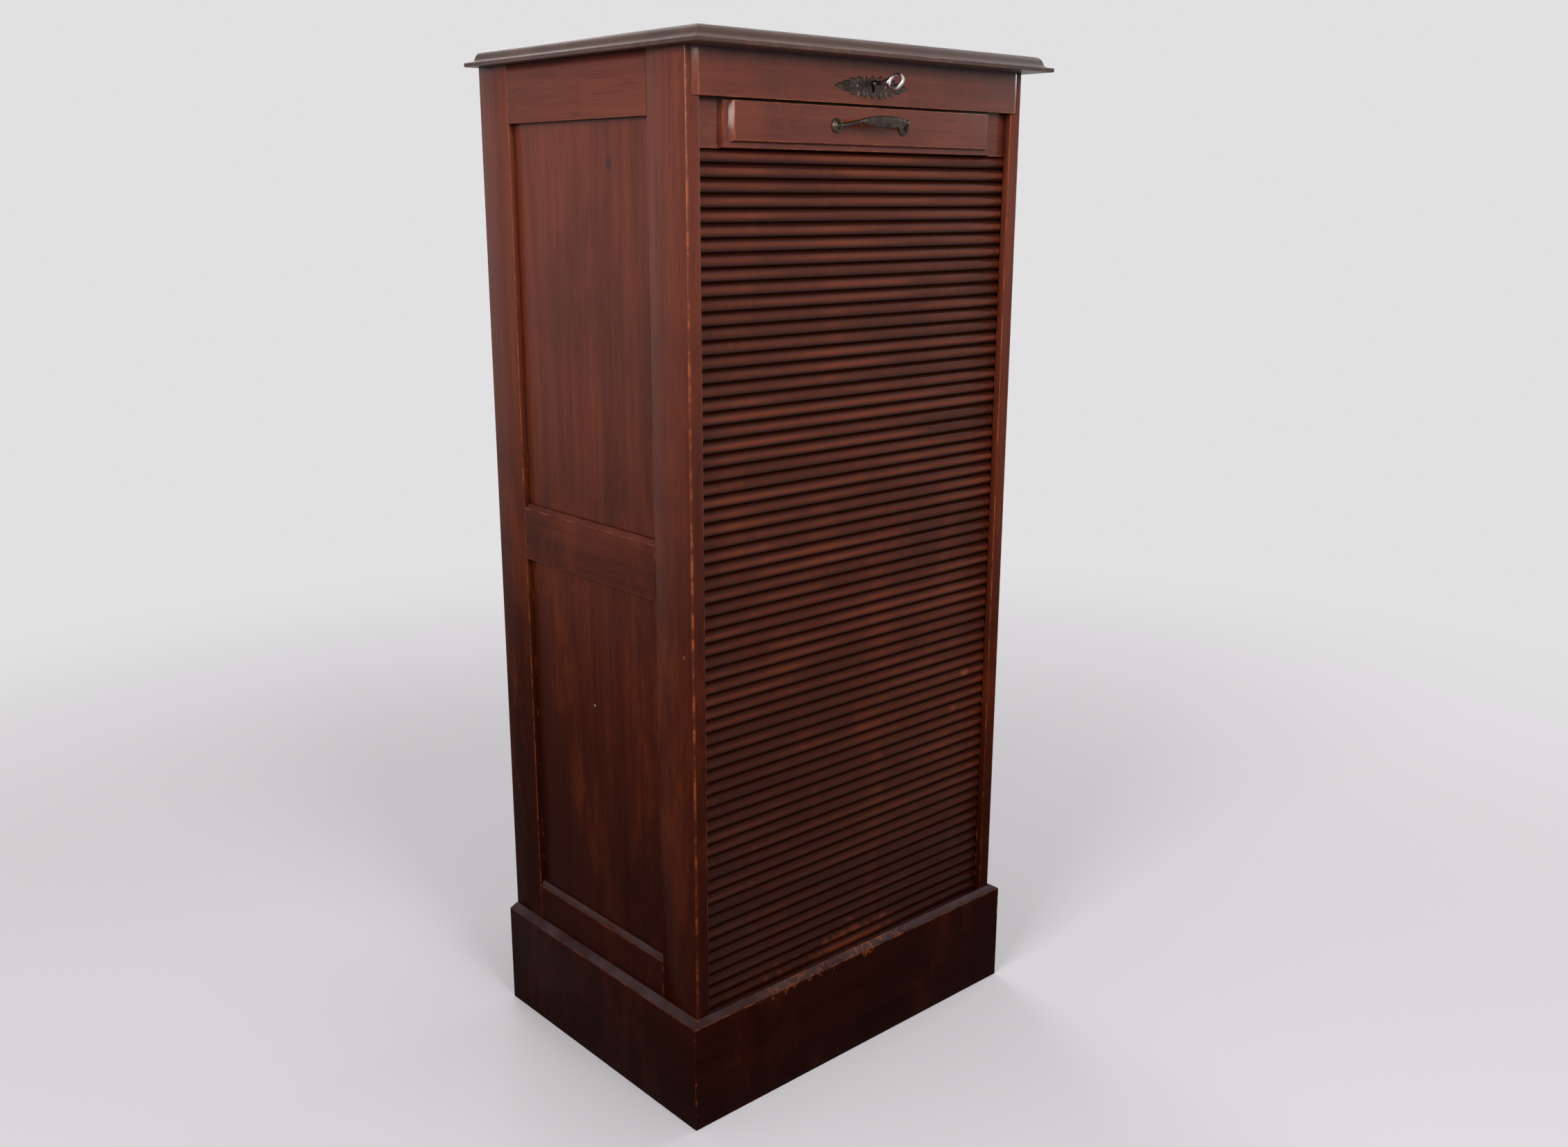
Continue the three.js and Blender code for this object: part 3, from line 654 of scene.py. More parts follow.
sideSpots = [
    # place, half width, how much taller than wide, colour, strength
    ((-0.255, -0.0297, 1.1189), 7 * mm, 1.6, paint(58, 40, 42), 0.9),
    ((-0.255, 0.0298, 0.4775), 1.6 * mm, 1.3, paint(206, 196, 196), 0.9),
    ((-0.263, -0.1605, 0.587), 2.4 * mm, 1.5, paint(150, 92, 76), 0.7),
]
frontSpots = [
    ((-0.1, -0.178, 0.1415), 90 * mm, 0.06, paint(122, 62, 34), 0.55),
    ((0.03, -0.178, 0.141), 80 * mm, 0.07, paint(140, 72, 38), 0.6),
]
slatSpots = [
    ((0.0, -0.166, 0.146), 95 * mm, 0.3, paint(128, 60, 34), 0.4),
    ((-0.12, -0.166, 0.15), 60 * mm, 0.14, paint(112, 52, 30), 0.4),
    ((0.208, -0.166, 0.468), 11 * mm, 0.9, paint(150, 82, 48), 0.5),
    ((0.187, -0.166, 0.424), 9 * mm, 0.8, paint(140, 76, 46), 0.45),
]
spotRaggedness = {"Scale": 90, "Detail": 4}
spotCore = 0.3  # share of its width in which a spot is at its full strength


def spotted(tree, colour, spots):
    place = objectPlace(tree)
    ragged = addNode(tree, "TexNoise", Vector=place, **spotRaggedness).outputs["Color"]
    for (x, y, z), half, taller, spotColour, strength in spots:
        # the noise is about a half, so the middle moves along with it
        moved = vectorMaths(tree, "MULTIPLY_ADD", ragged, (half, half, half), place)["Vector"]
        squeezed = stretch(tree, moved, (1, 1, 1 / taller))
        middle = (x + half / 2, y + half / 2, (z + half / 2) / taller)
        away = vectorMaths(tree, "DISTANCE", squeezed, middle)["Value"]
        inside = spread(tree, away, half, half * spotCore, 0, strength)
        colour = mixColours(tree, inside, colour, spotColour)
    return colour


# Metals and canvas

metalLook = {
    "metallic": 1,
    "cloudGrain": (140, 5, 0.6),
    "cloudReach": (0.35, 0.68),
    "rubRadius": 1.2 * mm,
    "rubGrain": (280, 5, 0.65),
    "rubReach": (0.3, 0.6),
    "pitGrain": (840, 3, 0.6),
    "relief": (0.15, 0.2 * mm),
}

bronzeLook = {
    **metalLook,
    "dark": paint(46, 36, 30),
    "light": paint(78, 64, 55),
    "metallic": 0.7,
    "cloudGrain": (90, 5, 0.6),
    "rubGrain": (180, 5, 0.65),
    "pitGrain": (540, 3, 0.6),
    "dullReach": (0.3, 0.7, 0.42, 0.24),
}

keyLook = {
    **metalLook,
    "dark": paint(170, 162, 156),
    "light": paint(222, 216, 210),
    "dullReach": (0.3, 0.7, 0.38, 0.2),
}

lockLook = {
    **metalLook,
    "dark": paint(92, 86, 80),
    "light": paint(140, 134, 128),
    "dullReach": (0.3, 0.7, 0.5, 0.32),
}


def metalFinish(name, slot, look):
    material, tree, shader = newMaterial(name)
    place = objectPlace(tree)
    clouds = noise(tree, place, *look["cloudGrain"])
    colour = mixColours(tree, spread(tree, clouds, *look["cloudReach"]), look["dark"], look["light"])
    worn = rubbed(tree, place, look["rubRadius"], look["rubGrain"], look["rubReach"])
    plug(tree, shader.inputs["Base Color"], mixColours(tree, worn, colour, look["light"]))
    shader.inputs["Metallic"].default_value = look["metallic"]
    plug(tree, shader.inputs["Roughness"], spread(tree, clouds, *look["dullReach"]))
    addBump(tree, shader, noise(tree, place, *look["pitGrain"]), *look["relief"])
    return {"slot": slot, "materials": [material, material]}


keyTarnish = {
    "colour": paint(70, 60, 54),
    "depths": (-0.2, -0.192, 0, 0.85),
}


def tarnished(tree, colour, s):
    # the part that fingers never polish
    depth = axes(tree, objectPlace(tree))["Y"]
    return mixColours(tree, spread(tree, depth, *s["depths"]), colour, s["colour"])


canvasLook = {
    "dark": paint(104, 90, 68),
    "light": paint(150, 136, 108),
    "gaps": paint(70, 58, 42),
    # painted shade colour for the cloth's front, where it shows between the slats
    "stained": paint(44, 19, 13),
    "threadsApart": 0.7 * mm,
    "stainGrain": (9, 5, 0.6),
    "stainSteps": (0.3, 0.7),
    "gapReach": (0.4, 0.1, 0, 0.45),
    "frontReach": (0, -0.4, 0, 0.95),  # painted shade: the cloth's front is dark where it shows between the slats
    "roughness": 0.95,
    "relief": (0.5, 0.3 * mm),
}
waveAngle = 20  # radians that a wave texture turns in a metre, at a scale of 1


def canvasFinish(look):
    material, tree, shader = newMaterial("canvas backing")
    place = objectPlace(tree)
    scale = 2 * math.pi / (look["threadsApart"] * waveAngle)
    across, down = [addNode(tree, "TexWave", {"bands_direction": way}, Vector=place, Scale=scale)
                    for way in ("X", "Z")]
    weave = maths(tree, "MAXIMUM", across.outputs["Fac"], down.outputs["Fac"])
    stains = noise(tree, place, *look["stainGrain"])
    colour = colourSteps(tree, stains, look["stainSteps"], (look["dark"], look["light"]))
    colour = mixColours(tree, spread(tree, weave, *look["gapReach"]), colour, look["gaps"])
    # painted shade on the cloth's front, where it shows between the slats
    atFront = spread(tree, facing(tree)["Y"], *look["frontReach"])
    plug(tree, shader.inputs["Base Color"], mixColours(tree, atFront, colour, look["stained"]))
    shader.inputs["Roughness"].default_value = look["roughness"]
    addBump(tree, shader, weave, *look["relief"])
    return {"slot": "canvas", "materials": [material, material]}


woodUp = woodFinish("stained wood, upright grain", "case_wood", stainedLook, grainAlongZ)
woodAcross = woodFinish("stained wood, grain across", "case_wood", frontLook, grainAlongX)
woodBack = woodFinish("stained wood, grain to the back", "case_wood", railLook, grainAlongY)
topWood = woodFinish("top wood", "top_wood", topLook, grainAlongX)
slatWood = woodFinish("slat wood", "slat_wood", slatLook, grainAlongX)
insideWood = woodFinish("inside wood", "inside_wood", bareLook, grainAlongX)
bronze = metalFinish("aged bronze", "bronze", bronzeLook)
keySteel = metalFinish("key steel", "steel", keyLook)
lockSteel = metalFinish("lock steel", "lock_steel", lockLook)
canvas = canvasFinish(canvasLook)
for material in topWood["materials"]:
    repaint(material, dustAndSheen, topDustAndSheen)
for material in woodAcross["materials"] + woodBack["materials"]:
    repaint(material, dustAndSheen, boardDustAndSheen)
for material in woodAcross["materials"]:
    repaint(material, spotted, frontSpots)
repaint(woodUp["materials"][0], spotted, sideSpots)
repaint(keySteel["materials"][0], tarnished, keyTarnish)
print("materials ready")


# Moulded top

topSettings = {
    "bottomInset": 0.8 * mm,
    "profile": [  # how far in and how far up, in millimetres
        (0, 0.9), (0, 4.0), (0.8, 4.9), (5.6, 5.4), (7.4, 6.0), (8.7, 7.5), (9.5, 9.6),
        (10.1, 11.8), (11.0, 13.8), (12.4, 15.5), (14.2, 16.8), (16.4, 17.6), (19, 18),
    ],
    "seamEase": 0.35 * mm,
}


def mouldedTop(s):
    frontLow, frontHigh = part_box("top_board_front")
    rearLow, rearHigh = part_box("top_board_rear")
    seamY = (frontHigh[1] + rearLow[1]) / 2
    low, high = Vector(frontLow), Vector(rearHigh)
    middle = (low + high) / 2
    sizes = (high.x - low.x, high.y - low.y)
    front = block("topFrontBoard", low, (high.x, high.y, low.z + s["profile"][0][1] * mm), topWood)
    pickFaces(front, (0, 0, -1))
    resize((*[1 - 2 * s["bottomInset"] / size for size in sizes], 1), middle)
    leaveEdit()
    pickFaces(front, (0, 0, 1))
    for (fromIn, fromUp), (toIn, toUp) in zip(s["profile"], s["profile"][1:]):
        extrude(0, 0, (toUp - fromUp) * mm)
        resize((*[(size - 2 * toIn * mm) / (size - 2 * fromIn * mm) for size in sizes], 1), middle)
    leaveEdit()

    choose(front)
    bpy.ops.object.duplicate()
    rear = newest("topRearBoard", topWood)
    for board, isFront, node in ((front, True, "top_board_front"), (rear, False, "top_board_rear")):
        editAll(board)
        bpy.ops.mesh.bisect(plane_co=(0, seamY, 0), plane_no=(0, 1, 0), use_fill=True,
                            clear_outer=isFront, clear_inner=not isFront)
        leaveEdit()
        onSeam = lambda a, b: same(a.y, seamY) and same(b.y, seamY)
        softenEdges(board, s["seamEase"], onSeam, segments=1)
        settle(board, "carcass", topWood, node, smoothAngle=40)


mouldedTop(topSettings)
print("top made")


# Framed sides

sideSettings = {
    "postEdge": 1.6 * mm,
    "frameEdge": 0.9 * mm,
    "faceDepth": 6 * mm,  # the rails' softened edges lie within this of the outer face
}


def placePair(piece, node, finish):
    # the piece on the left, and its mirror image on the right
    choose(piece)
    bpy.ops.object.duplicate()
    other = bpy.context.object
    other.name = other.data.name = piece.name.replace("left", "right")
    flip(other)
    settle(piece, "carcass", finish, "left_" + node)
    settle(other, "carcass", finish, "right_" + node)


def framedSides(s):
    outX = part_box("left_front_stile")[0][0]
    for node in ("front_stile", "rear_stile"):
        low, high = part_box("left_" + node)
        # where an edge lies, whether on the outer face, how wide it is rounded and in how many steps
        if node == "front_stile":
            edges = [(low[1], True, s["postEdge"], 3), (high[1], True, s["frameEdge"], 2),
                     (low[1], False, s["frameEdge"], 2)]
        else:
            edges = [(low[1], True, s["frameEdge"], 2), (high[1], True, s["postEdge"], 2)]
        piece = copyOfNode("left_" + node, plainName("left_" + node), woodUp)
        for y, outer, width, segments in edges:
            onEdge = lambda a, b: runsUp(a, b) and same(a.y, y) and same(a.x, outX) == outer
            softenEdges(piece, width, onEdge, segments)
        placePair(piece, node, woodUp)

    for node in ("top_rail", "middle_rail", "bottom_rail"):
        piece = copyOfNode("left_" + node, plainName("left_" + node), woodBack)
        runsBack = lambda a, b: abs(a.y - b.y) > longEdge and same(a.z, b.z)
        atFace = lambda a, b: min(abs(a.x - outX), abs(b.x - outX)) < s["faceDepth"]
        softenEdges(piece, s["frameEdge"], lambda a, b: runsBack(a, b) and atFace(a, b))
        placePair(piece, node, woodBack)

    for node in ("upper_panel", "lower_panel"):
        piece = block(plainName("left_" + node), *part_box("left_" + node), woodUp)
        softenAll(piece, s["frameEdge"], segments=1)
        placePair(piece, node, woodUp)


framedSides(sideSettings)
print("sides made")


# Skirting boards and the rail over the tambour

plinthSettings = {"edge": 1.0 * mm, "mitreEdge": 0.4 * mm}

railSettings = {
    "edge": 1.2 * mm,
    "endEdge": 1.0 * mm,
    "endSlope": 3.1 * mm,  # the ends slope back by a little less
    "keyholeReach": 20 * mm,  # no edge is softened so near to the middle
}


def skirting(s):
    for side, finish in (("front", woodAcross), ("left", woodBack), ("right", woodBack)):
        piece = copyOfNode("plinth_" + side, "skirting" + side.title(), finish)
        softenEdges(piece, s["edge"], lambda a, b: same(a.z, b.z) and (a - b).length > longEdge)
        softenEdges(piece, s["mitreEdge"], runsUp, segments=1)
        settle(piece, "carcass", finish, "plinth_" + side)


def frontRail(s):
    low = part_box("front_top_rail")[0]
    piece = copyOfNode("front_top_rail", "frontRail", woodAcross)
    inFront = lambda point: abs(point.x) > s["keyholeReach"] and point.y < low[1] + s["endSlope"]
    atBottom = lambda point: inFront(point) and same(point.z, low[2])
    softenEdges(piece, s["edge"], lambda a, b: atBottom(a) and atBottom(b))
    softenEdges(piece, s["endEdge"], lambda a, b: inFront(a) and abs(a.z - b.z) > longEdge)
    settle(piece, "carcass", woodAcross, "front_top_rail")


skirting(plinthSettings)
frontRail(railSettings)
print("skirting and front rail made")


# Boards of the inside and the back

boardSettings = {"edge": 1.0 * mm, "shelfEdge": 2.0 * mm, "shelves": (1, 2, 3)}


def boards(s):
    inside = ["front_stretcher", "rear_stretcher", "cabinet_floor", "inner_back"]
    inside += [f"shelf_bearer_{side}_{i}" for i in s["shelves"] for side in ("left", "right")]
    backRails = ["back_top_rail", "back_middle_rail", "back_bottom_rail"]
    backPanels = ["back_upper_panel", "back_lower_panel"]
    for nodes, finish in ((inside, insideWood), (backRails, woodAcross), (backPanels, woodUp)):
        for node in nodes:
            piece = block(plainName(node), *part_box(node), finish)
            softenAll(piece, s["edge"])
            settle(piece, "carcass", finish, node)
    for i in s["shelves"]:
        low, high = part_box(f"shelf_{i}")
        piece = block(f"shelf{i}", low, high, insideWood)
        softenEdges(piece, s["shelfEdge"], edgesAtFront(low), segments=4)
        settle(piece, "carcass", insideWood, f"shelf_{i}")


boards(boardSettings)
print("shelves and back made")


# Tambour: slats, canvas, lead board

slatSettings = {
    "perStrip": 11,
    "strips": 6,
    "web": 1.2 * mm,
    "gap": 0.3 * mm,
    "sides": 24,
    "leanDegrees": 1.6,
    "shift": 0.15 * mm,
    "seed": 11,
    "packedHeight": 30 * mm,  # what is left of the curtain's height when it has run down
}


def tambourSlats(s):
    random.seed(s["seed"])
    count = s["perStrip"] * s["strips"]
    low = Vector(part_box(f"slat_strip_{s['strips']}")[0])
    high = Vector(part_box("slat_strip_1")[1])
    top = high.z + s["gap"]
    pitch = (top - low.z + s["gap"]) / count
    reedBack = high.y - s["web"]

    # one slat: half a cylinder, flattened, on a thin flat back
    choose()
    bpy.ops.mesh.primitive_cylinder_add(vertices=s["sides"], radius=1, depth=1, rotation=layToX)
    pattern = newest("slatPattern", slatWood)
    keepPlace(pattern)
    pattern.scale = (high.x - low.x, reedBack - low.y, pitch / 2 - s["gap"])
    keepPlace(pattern)
    editAll(pattern)
    bpy.ops.mesh.bisect(plane_co=(0, 0, 0), plane_no=(0, 1, 0), use_fill=True, clear_outer=True)
    leaveEdit()
    pickFaces(pattern, (0, 1, 0))
    extrude(0, s["web"], 0)
    leaveEdit()

    for material in slatWood["materials"]:
        repaint(material, slatWear, slatLook, low.y, reedBack)
    keep = s["packedHeight"] / (top - low.z)
    for i in range(count):
        choose(pattern)
        bpy.ops.object.duplicate()
        slat = newest(f"slat{i + 1:02d}", slatWood)
        lean = random.uniform(-1, 1) * s["leanDegrees"]
        lift = random.uniform(-1, 1) * s["shift"]
        slat.rotation_euler.x = math.radians(lean)
        slat.location = ((low.x + high.x) / 2, reedBack + abs(lift), top - (i + 0.5) * pitch + lift)
        keepPlace(slat)
        settle(slat, "tambour", slatWood, f"slat_strip_{i // s['perStrip'] + 1}", smoothAngle=50)
        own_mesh(slat)
    bpy.data.objects.remove(pattern)
    return top, keep


canvasSettings = {
    "columns": 2,
    "rows": 134,
    "drawnIn": 0.12 * mm,
    "thickness": 0.5 * mm,
}


def backingCanvas(s):
    low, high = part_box("tambour_canvas")
    wide, tall = high[0] - low[0], high[2] - low[2]
    choose()
    bpy.ops.mesh.primitive_grid_add(x_subdivisions=s["columns"], y_subdivisions=s["rows"], size=1,
                                    location=[(a + b) / 2 for a, b in zip(low, high)], rotation=layToY)
    piece = newest("canvasBacking", canvas)
    piece.scale = (wide, tall, 1)
    keepPlace(piece)
    # the cloth is drawn in a little between one slat and the next
    rowOf = lambda co: round(co.z, 6)  # to the micrometre
    rows = sorted({rowOf(vertex.co) for vertex in piece.data.vertices})
    pick(piece, "VERT", lambda co: rowOf(co) in rows[1::2])
    bpy.ops.transform.translate(value=(0, -s["drawnIn"], 0))
    leaveEdit()
    modify(piece, "SOLIDIFY", thickness=s["thickness"], offset=0)
    settle(piece, "tambour", canvas, "tambour_canvas")
    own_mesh(piece)


leadSettings = {
    "edge": 0.9 * mm,
    "edgeLength": 200 * mm,  # the edges of the lock's notch are shorter, and stay sharp
    "start": 0.5 * mm,
    "steps": [(0, 0), (1.7, 5), (9.7, 5.02), (13.1, 11)],  # inwards and out, in millimetres
    "topGap": 1.5 * mm,
    "bottomShare": 0.62,  # the border is narrower along the bottom, and there is none along the top
    "panelEdge": 1.0 * mm,
    "mitreEdge": 0.8 * mm,
    "borderOut": 4 * mm,  # the mitres that are softened lie in front of this
    "mitreRise": 3 * mm,
}


def leadBoard(s):
    low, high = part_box("lead_board")
    board = copyOfNode("lead_board", "leadBoard", woodAcross)
    atFront = edgesAtFront(low)
    softenEdges(board, s["edge"], lambda a, b: abs(a.x - b.x) > s["edgeLength"] and atFront(a, b))
    settle(board, "tambour", woodAcross, "lead_board")

    low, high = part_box("lead_panel")
    y = high[1] - s["start"]
    top = high[2] - s["topGap"]
    half, tall = (high[0] - low[0]) / 2, top - low[2]
    panel = block("leadRaisedPanel", (low[0], y, low[2]), (high[0], high[1], top), woodAcross)
    pickFaces(panel, (0, -1, 0))
    steps = [(inwards * mm, out * mm) for inwards, out in s["steps"]]
    for (fromIn, fromOut), (toIn, toOut) in zip(steps, steps[1:]):
        extrude(0, fromOut - toOut, 0)
        y -= toOut - fromOut
        shorter = (half - toIn) / (half - fromIn)
        lower = (tall - s["bottomShare"] * toIn) / (tall - s["bottomShare"] * fromIn)
        resize((shorter, 1, lower), (0, y, top))
    leaveEdit()
    softenEdges(panel, s["panelEdge"], edgesAtFront(low), segments=3)
    borderY = high[1] - s["borderOut"]
    mitre = lambda a, b: abs(a.y - b.y) > s["mitreRise"] and max(a.y, b.y) < borderY
    softenEdges(panel, s["mitreEdge"], mitre)
    settle(panel, "tambour", woodAcross, "lead_panel")


curtainTop, curtainKeep = tambourSlats(slatSettings)
backingCanvas(canvasSettings)
leadBoard(leadSettings)
print("tambour made")


# Bow handle

handleSettings = {
    "foot": [  # radius and how far out, in millimetres
        (8.4, 0), (8.4, 1.3), (7.7, 2.0), (6.4, 2.2), (6.0, 3.3), (4.2, 4.3), (3.4, 6.0), (3.2, 7.5),
    ],
    "footSides": 32,
    "armRadius": 2.7 * mm,
    "armRoundness": 6,
    "armPath": [  # how far inwards and out, in millimetres, and the share of the lift
        (0, 3, 0), (5.5, 10, 0.2), (13, 17, 0.6), (21, 24, 1),
    ],
    "gripHalf": (34, 3.5, 6.5),
    "gripSides": (32, 24),
    "gripShoulders": [(0.5, 1.04), (0.75, 1.14)],  # beyond this share of its half, how much fuller
    "bead": 3.6 * mm,
    "beadInset": 1 * mm,
    "voxel": 0.4 * mm,
    "smoothing": 9,
}


def curvedArm(path, radius, roundness):
    choose()
    bpy.ops.curve.primitive_bezier_curve_add()
    curve = bpy.context.object.data
    points = curve.splines[0].bezier_points
    points.add(len(path) - len(points))
    for point, place in zip(points, path):
        point.co = place
        point.handle_left_type = point.handle_right_type = "AUTO"
    curve.bevel_depth = radius
    curve.bevel_resolution = roundness
    curve.use_fill_caps = True
    bpy.ops.object.convert(target="MESH")
    return bpy.context.object


def bowHandle(s):
    low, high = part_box("handle")
    boltLow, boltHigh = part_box("handle_bolt_right")
    footX, _, footZ = [(a + b) / 2 for a, b in zip(boltLow, boltHigh)]
    backY = high[1]
    halfLength, halfThick, halfHigh = [size * mm for size in s["gripHalf"]]
    gripY, gripZ = low[1] + halfThick, high[2] - halfHigh

    grip = ball((halfLength, halfThick, halfHigh), (0, gripY, gripZ), *s["gripSides"])
    for share, fuller in s["gripShoulders"]:  # makes a flat oval bar of it
        pick(grip, "VERT", lambda co: abs(co.x) > share * halfLength)
        resize((1, fuller, fuller), (0, gripY, gripZ))
        leaveEdit()
    parts = [grip]
    for side in (-1, 1):
        profile = [(radius * mm, out * mm) for radius, out in s["foot"]]
        parts.append(turned((side * footX, backY, footZ), profile, s["footSides"]))
        path = [
            (side * (footX - inwards * mm), max(backY - out * mm, gripY), footZ + lift * (gripZ - footZ))
            for inwards, out, lift in s["armPath"]
        ]
        parts.append(curvedArm(path, s["armRadius"], s["armRoundness"]))
        beadX = side * (halfLength - s["beadInset"])
        parts.append(ball([s["bead"]] * 3, (beadX, gripY, gripZ), turn=(0, 0, 0)))
    handle = fuse("bowHandle", parts, bronze, s["voxel"], s["smoothing"])
    settle(handle, "tambour", bronze, "handle", smoothAngle=60)


bowHandle(handleSettings)
print("handle made")


# Leafy escutcheon, and the key in it

escutcheonSettings = {
    "voxel": 0.4 * mm,
    "smoothing": 3,
    # in millimetres: along, up, length, width, and turn in degrees
    "leaves": [
        (50, 0, 19.5, 6.8, 0), (38, 2.6, 20, 7.5, 14), (38, -2.6, 20, 7.5, -14),
        (29, 5.0, 18, 8, 26), (28, -5.2, 18, 8, -28), (20, 6.6, 15, 8.5, 40), (19, -6.8, 15, 8.5, -44),
        (11, 7.8, 12, 8, 62), (11, -8.0, 12, 8, -66),
    ],
    "crest": [(0, 8.4, 9, 8, 90), (0, -8.4, 9, 8, -90)],
    "leafRelief": 1.4 * mm,
    "leafTip": [(0.1, 0.86), (0.4, 0.72), (0.7, 0.6)],  # beyond this share of its half, how narrow
    "shield": (12.5, 1.7, 10),  # half its length, depth and height
    "spine": (44, 1.0, 5.6),
    "scrolls": [(22, 0, 4.2), (32.5, 0, 3.0)],  # along, up and radius
    "scrollRelief": 2.1 * mm,
    "holeRadius": 3.2 * mm,
    "holeSides": 32,
    "slotHalf": 1.8 * mm,
    "slotDrop": 9.4 * mm,
    "cutBehind": 5 * mm,
    "cutThrough": 10 * mm,
}

joints = {joint["name"]: joint for joint in frame["record"]["behaviour"]["joints"]}
keyZ = joints["key_turn"]["pos_m"][2]


def leaf(s, place, length, width, turn):
    half = length / 2 * mm
    piece = ball((half, s["leafRelief"], width / 2 * mm), (0, 0, 0))
    for share, narrower in s["leafTip"]:
        pick(piece, "VERT", lambda co: co.x > share * half)
        resize((1, 1, narrower), (0, 0, 0))
        leaveEdit()
    piece.rotation_euler.y = -math.radians(turn)
    piece.location = place
    keepPlace(piece)
    return piece


def escutcheonPlate(s):
    low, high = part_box("escutcheon")
    backY = high[1]
    centreZ = (low[2] + high[2]) / 2
    onPlate = lambda along, up: (along * mm, backY, centreZ + up * mm)
    parts = []
    for side in (1, -1):
        for along, up, *shape in s["leaves"]:
            piece = leaf(s, onPlate(along, up), *shape)
            if side < 0:
                flip(piece)
            parts.append(piece)
        for along, up, radius in s["scrolls"]:
            parts.append(ball((radius * mm, s["scrollRelief"], radius * mm), onPlate(side * along, up)))
    parts += [leaf(s, onPlate(along, up), *shape) for along, up, *shape in s["crest"]]
    parts += [ball([size * mm for size in half], onPlate(0, 0)) for half in (s["shield"], s["spine"])]
    plate = fuse("leafEscutcheon", parts, bronze, s["voxel"], s["smoothing"])

    around, through = s["cutBehind"], s["cutThrough"]
    cutAway(plate, block("behind", (low[0] - around, backY, low[2] - around),
                         (high[0] + around, backY + around, high[2] + around), bronze))
    choose()
    bpy.ops.mesh.primitive_cylinder_add(vertices=s["holeSides"], radius=s["holeRadius"],
                                        depth=2 * through, location=(0, backY, keyZ), rotation=layToY)
    hole = bpy.context.object
    keepPlace(hole)
    cutAway(plate, hole)
    cutAway(plate, block("slot", (-s["slotHalf"], backY - through, keyZ - s["slotDrop"]),
                         (s["slotHalf"], backY + through, keyZ), bronze))
    settle(plate, "carcass", bronze, "escutcheon", smoothAngle=60)


keySettings = {
    "restTurn": 23,
    "bowRadius": 10.1 * mm,
    "bowWire": 2.4 * mm,
    "bowShape": (0.95, 1, 0.84),
    "bowSides": (56, 16),
    "bitHalf": (1.2, 2.0),
    "bitReach": 8.0 * mm,
    # radius and how far out, in millimetres: from the tail's end, from the collar's start, from the bow
    "tail": [(2.2, 0), (2.5, 0.6)],
    "collar": [
        (2.4, -0.4), (3.0, 0), (3.4, 0.5), (3.4, 1.7), (2.8, 2.2), (2.8, 2.9), (3.1, 3.3), (3.1, 4.0),
        (2.4, 4.6),
    ],
    "neck": [(2.4, -4), (3.0, -1.5), (3.0, 0.5)],
    "shankSides": 24,
    "toCollar": 3.0 * mm,  # from the rail's face to the collar
    "voxel": 0.3 * mm,
    "smoothing": 2,
}


def lockKey(s):
    low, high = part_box("key")
    tailY = high[1]
    bowY = low[1] + s["bowRadius"] + s["bowWire"]
    ringSides, wireSides = s["bowSides"]
    choose()
    bpy.ops.mesh.primitive_torus_add(major_radius=s["bowRadius"], minor_radius=s["bowWire"],
                                     major_segments=ringSides, minor_segments=wireSides, rotation=layToX)
    bow = bpy.context.object
    keepPlace(bow)
    bow.scale = s["bowShape"]
    bow.location.y = bowY
    keepPlace(bow)

    collarStart = tailY - (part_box("front_top_rail")[0][1] - s["toCollar"])
    shankEnd = tailY - bowY - s["bowRadius"]
    stretches = ((0, s["tail"]), (collarStart, s["collar"]), (shankEnd, s["neck"]))
    profile = [(radius * mm, start + out * mm) for start, steps in stretches for radius, out in steps]
    shank = turned((0, tailY, 0), profile, s["shankSides"])

    boltLow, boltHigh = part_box("lock_bolt")
    boltY = (boltLow[1] + boltHigh[1]) / 2
    halfThick, halfWide = [size * mm for size in s["bitHalf"]]
    bit = block("bit", (-halfThick, boltY - halfWide, -s["bitReach"]),
                (halfThick, boltY + halfWide, 0), keySteel)
    key = fuse("lockKey", [bow, shank, bit], keySteel, s["voxel"], s["smoothing"])
    key.rotation_euler.y = math.radians(s["restTurn"])
    key.location.z = keyZ
    keepPlace(key)
    settle(key, "key", keySteel, "key", smoothAngle=60)


escutcheonPlate(escutcheonSettings)
lockKey(keySettings)
for node in ("lock_case", "lock_cap", "lock_bolt", "lock_hook", "handle_bolt_left", "handle_bolt_right"):
    frame["nodes"][node].material_slots[0].material = lockSteel["materials"][0]
print("escutcheon, key and lock made")


# Floor and light

stageSettings = {
    "floorSize": 60,
    "floorSeen": paint(222, 219, 222),
    "floorBounce": (0.03, 0.03, 0.03, 1),
    "floorRoughness": 0.9,
    "fade": (0.9, 2.6),  # metres from the object, in which the floor melts into the backdrop
    "backdrop": 0.76,
    "backdropColour": (1, 0.985, 1, 1),
    "ambient": 0.34,
}

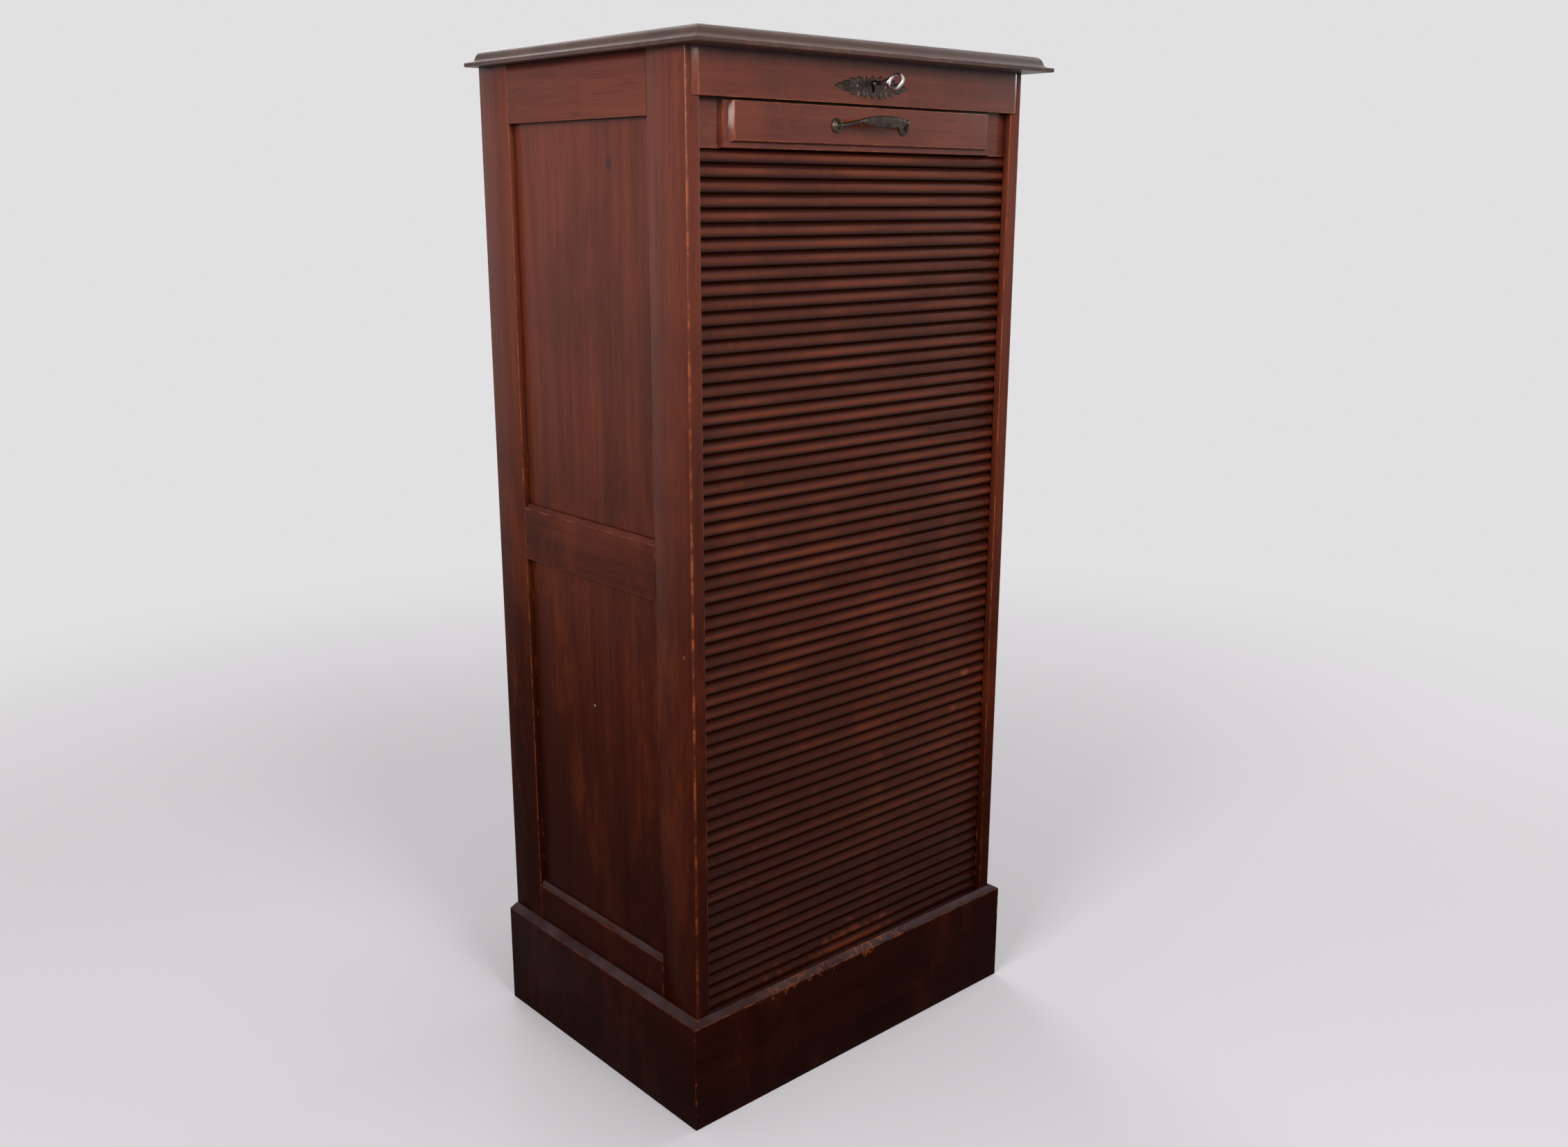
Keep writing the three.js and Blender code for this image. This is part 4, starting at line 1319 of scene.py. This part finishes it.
lampSettings = {
    "aim": (0, 0, 0.7),
    "lamps": [  # name, place, size, watts
        ("windowLamp", (-2.5, -0.75, 1.75), 1.2, 43),
        ("frontLamp", (-0.5, -2.8, 1.95), 1.2, 44),
        ("rightLamp", (2.6, -0.3, 1.9), 1.4, 22),
        ("backLamp", (0.8, 2.6, 2.4), 1.6, 26),
    ],
}


def seenRays(tree):
    # the camera's rays, and those that reach it by way of metal or glass
    rays = addNode(tree, "LightPath").outputs
    mirrored = maths(tree, "MAXIMUM", rays["Is Glossy Ray"], rays["Is Transmission Ray"])
    return maths(tree, "MAXIMUM", rays["Is Camera Ray"], mirrored)


def stageFloor(s):
    choose()
    bpy.ops.mesh.primitive_plane_add(size=s["floorSize"])
    floor = bpy.context.object
    floor.name = "studioFloor"
    material, tree, shader = newMaterial("studio floor")
    seen = seenRays(tree)
    plug(tree, shader.inputs["Base Color"], mixColours(tree, seen, s["floorBounce"], s["floorSeen"]))
    shader.inputs["Roughness"].default_value = s["floorRoughness"]
    shader.inputs["Specular IOR Level"].default_value = 0
    away = vectorMaths(tree, "LENGTH", objectPlace(tree))["Value"]
    glow = addNode(tree, "Emission", Color=s["backdropColour"], Strength=s["backdrop"])
    blended = addNode(tree, "MixShader", Fac=times(tree, spread(tree, away, *s["fade"]), seen))
    plug(tree, blended.inputs[1], shader.outputs[0])
    plug(tree, blended.inputs[2], glow.outputs[0])
    plug(tree, tree.nodes["Material Output"].inputs["Surface"], blended.outputs[0])
    floor.data.materials.append(material)


def worldLight(s):
    world = bpy.data.worlds.new("studio")
    bpy.context.scene.world = world
    world.use_nodes = True
    tree = world.node_tree
    background = tree.nodes["Background"]
    background.inputs["Color"].default_value = s["backdropColour"]
    strength = spread(tree, seenRays(tree), 0, 1, s["ambient"], s["backdrop"])
    plug(tree, background.inputs["Strength"], strength)


def addLamps(s):
    for name, place, size, watts in s["lamps"]:
        bpy.ops.object.light_add(type="AREA", location=place)
        lamp = bpy.context.object
        lamp.name = name
        lamp.data.size = size
        lamp.data.energy = watts
        towards = Vector(s["aim"]) - Vector(place)
        lamp.rotation_euler = towards.to_track_quat("-Z", "Y").to_euler()


stageFloor(stageSettings)
worldLight(stageSettings)
addLamps(lampSettings)
print("stage lit")
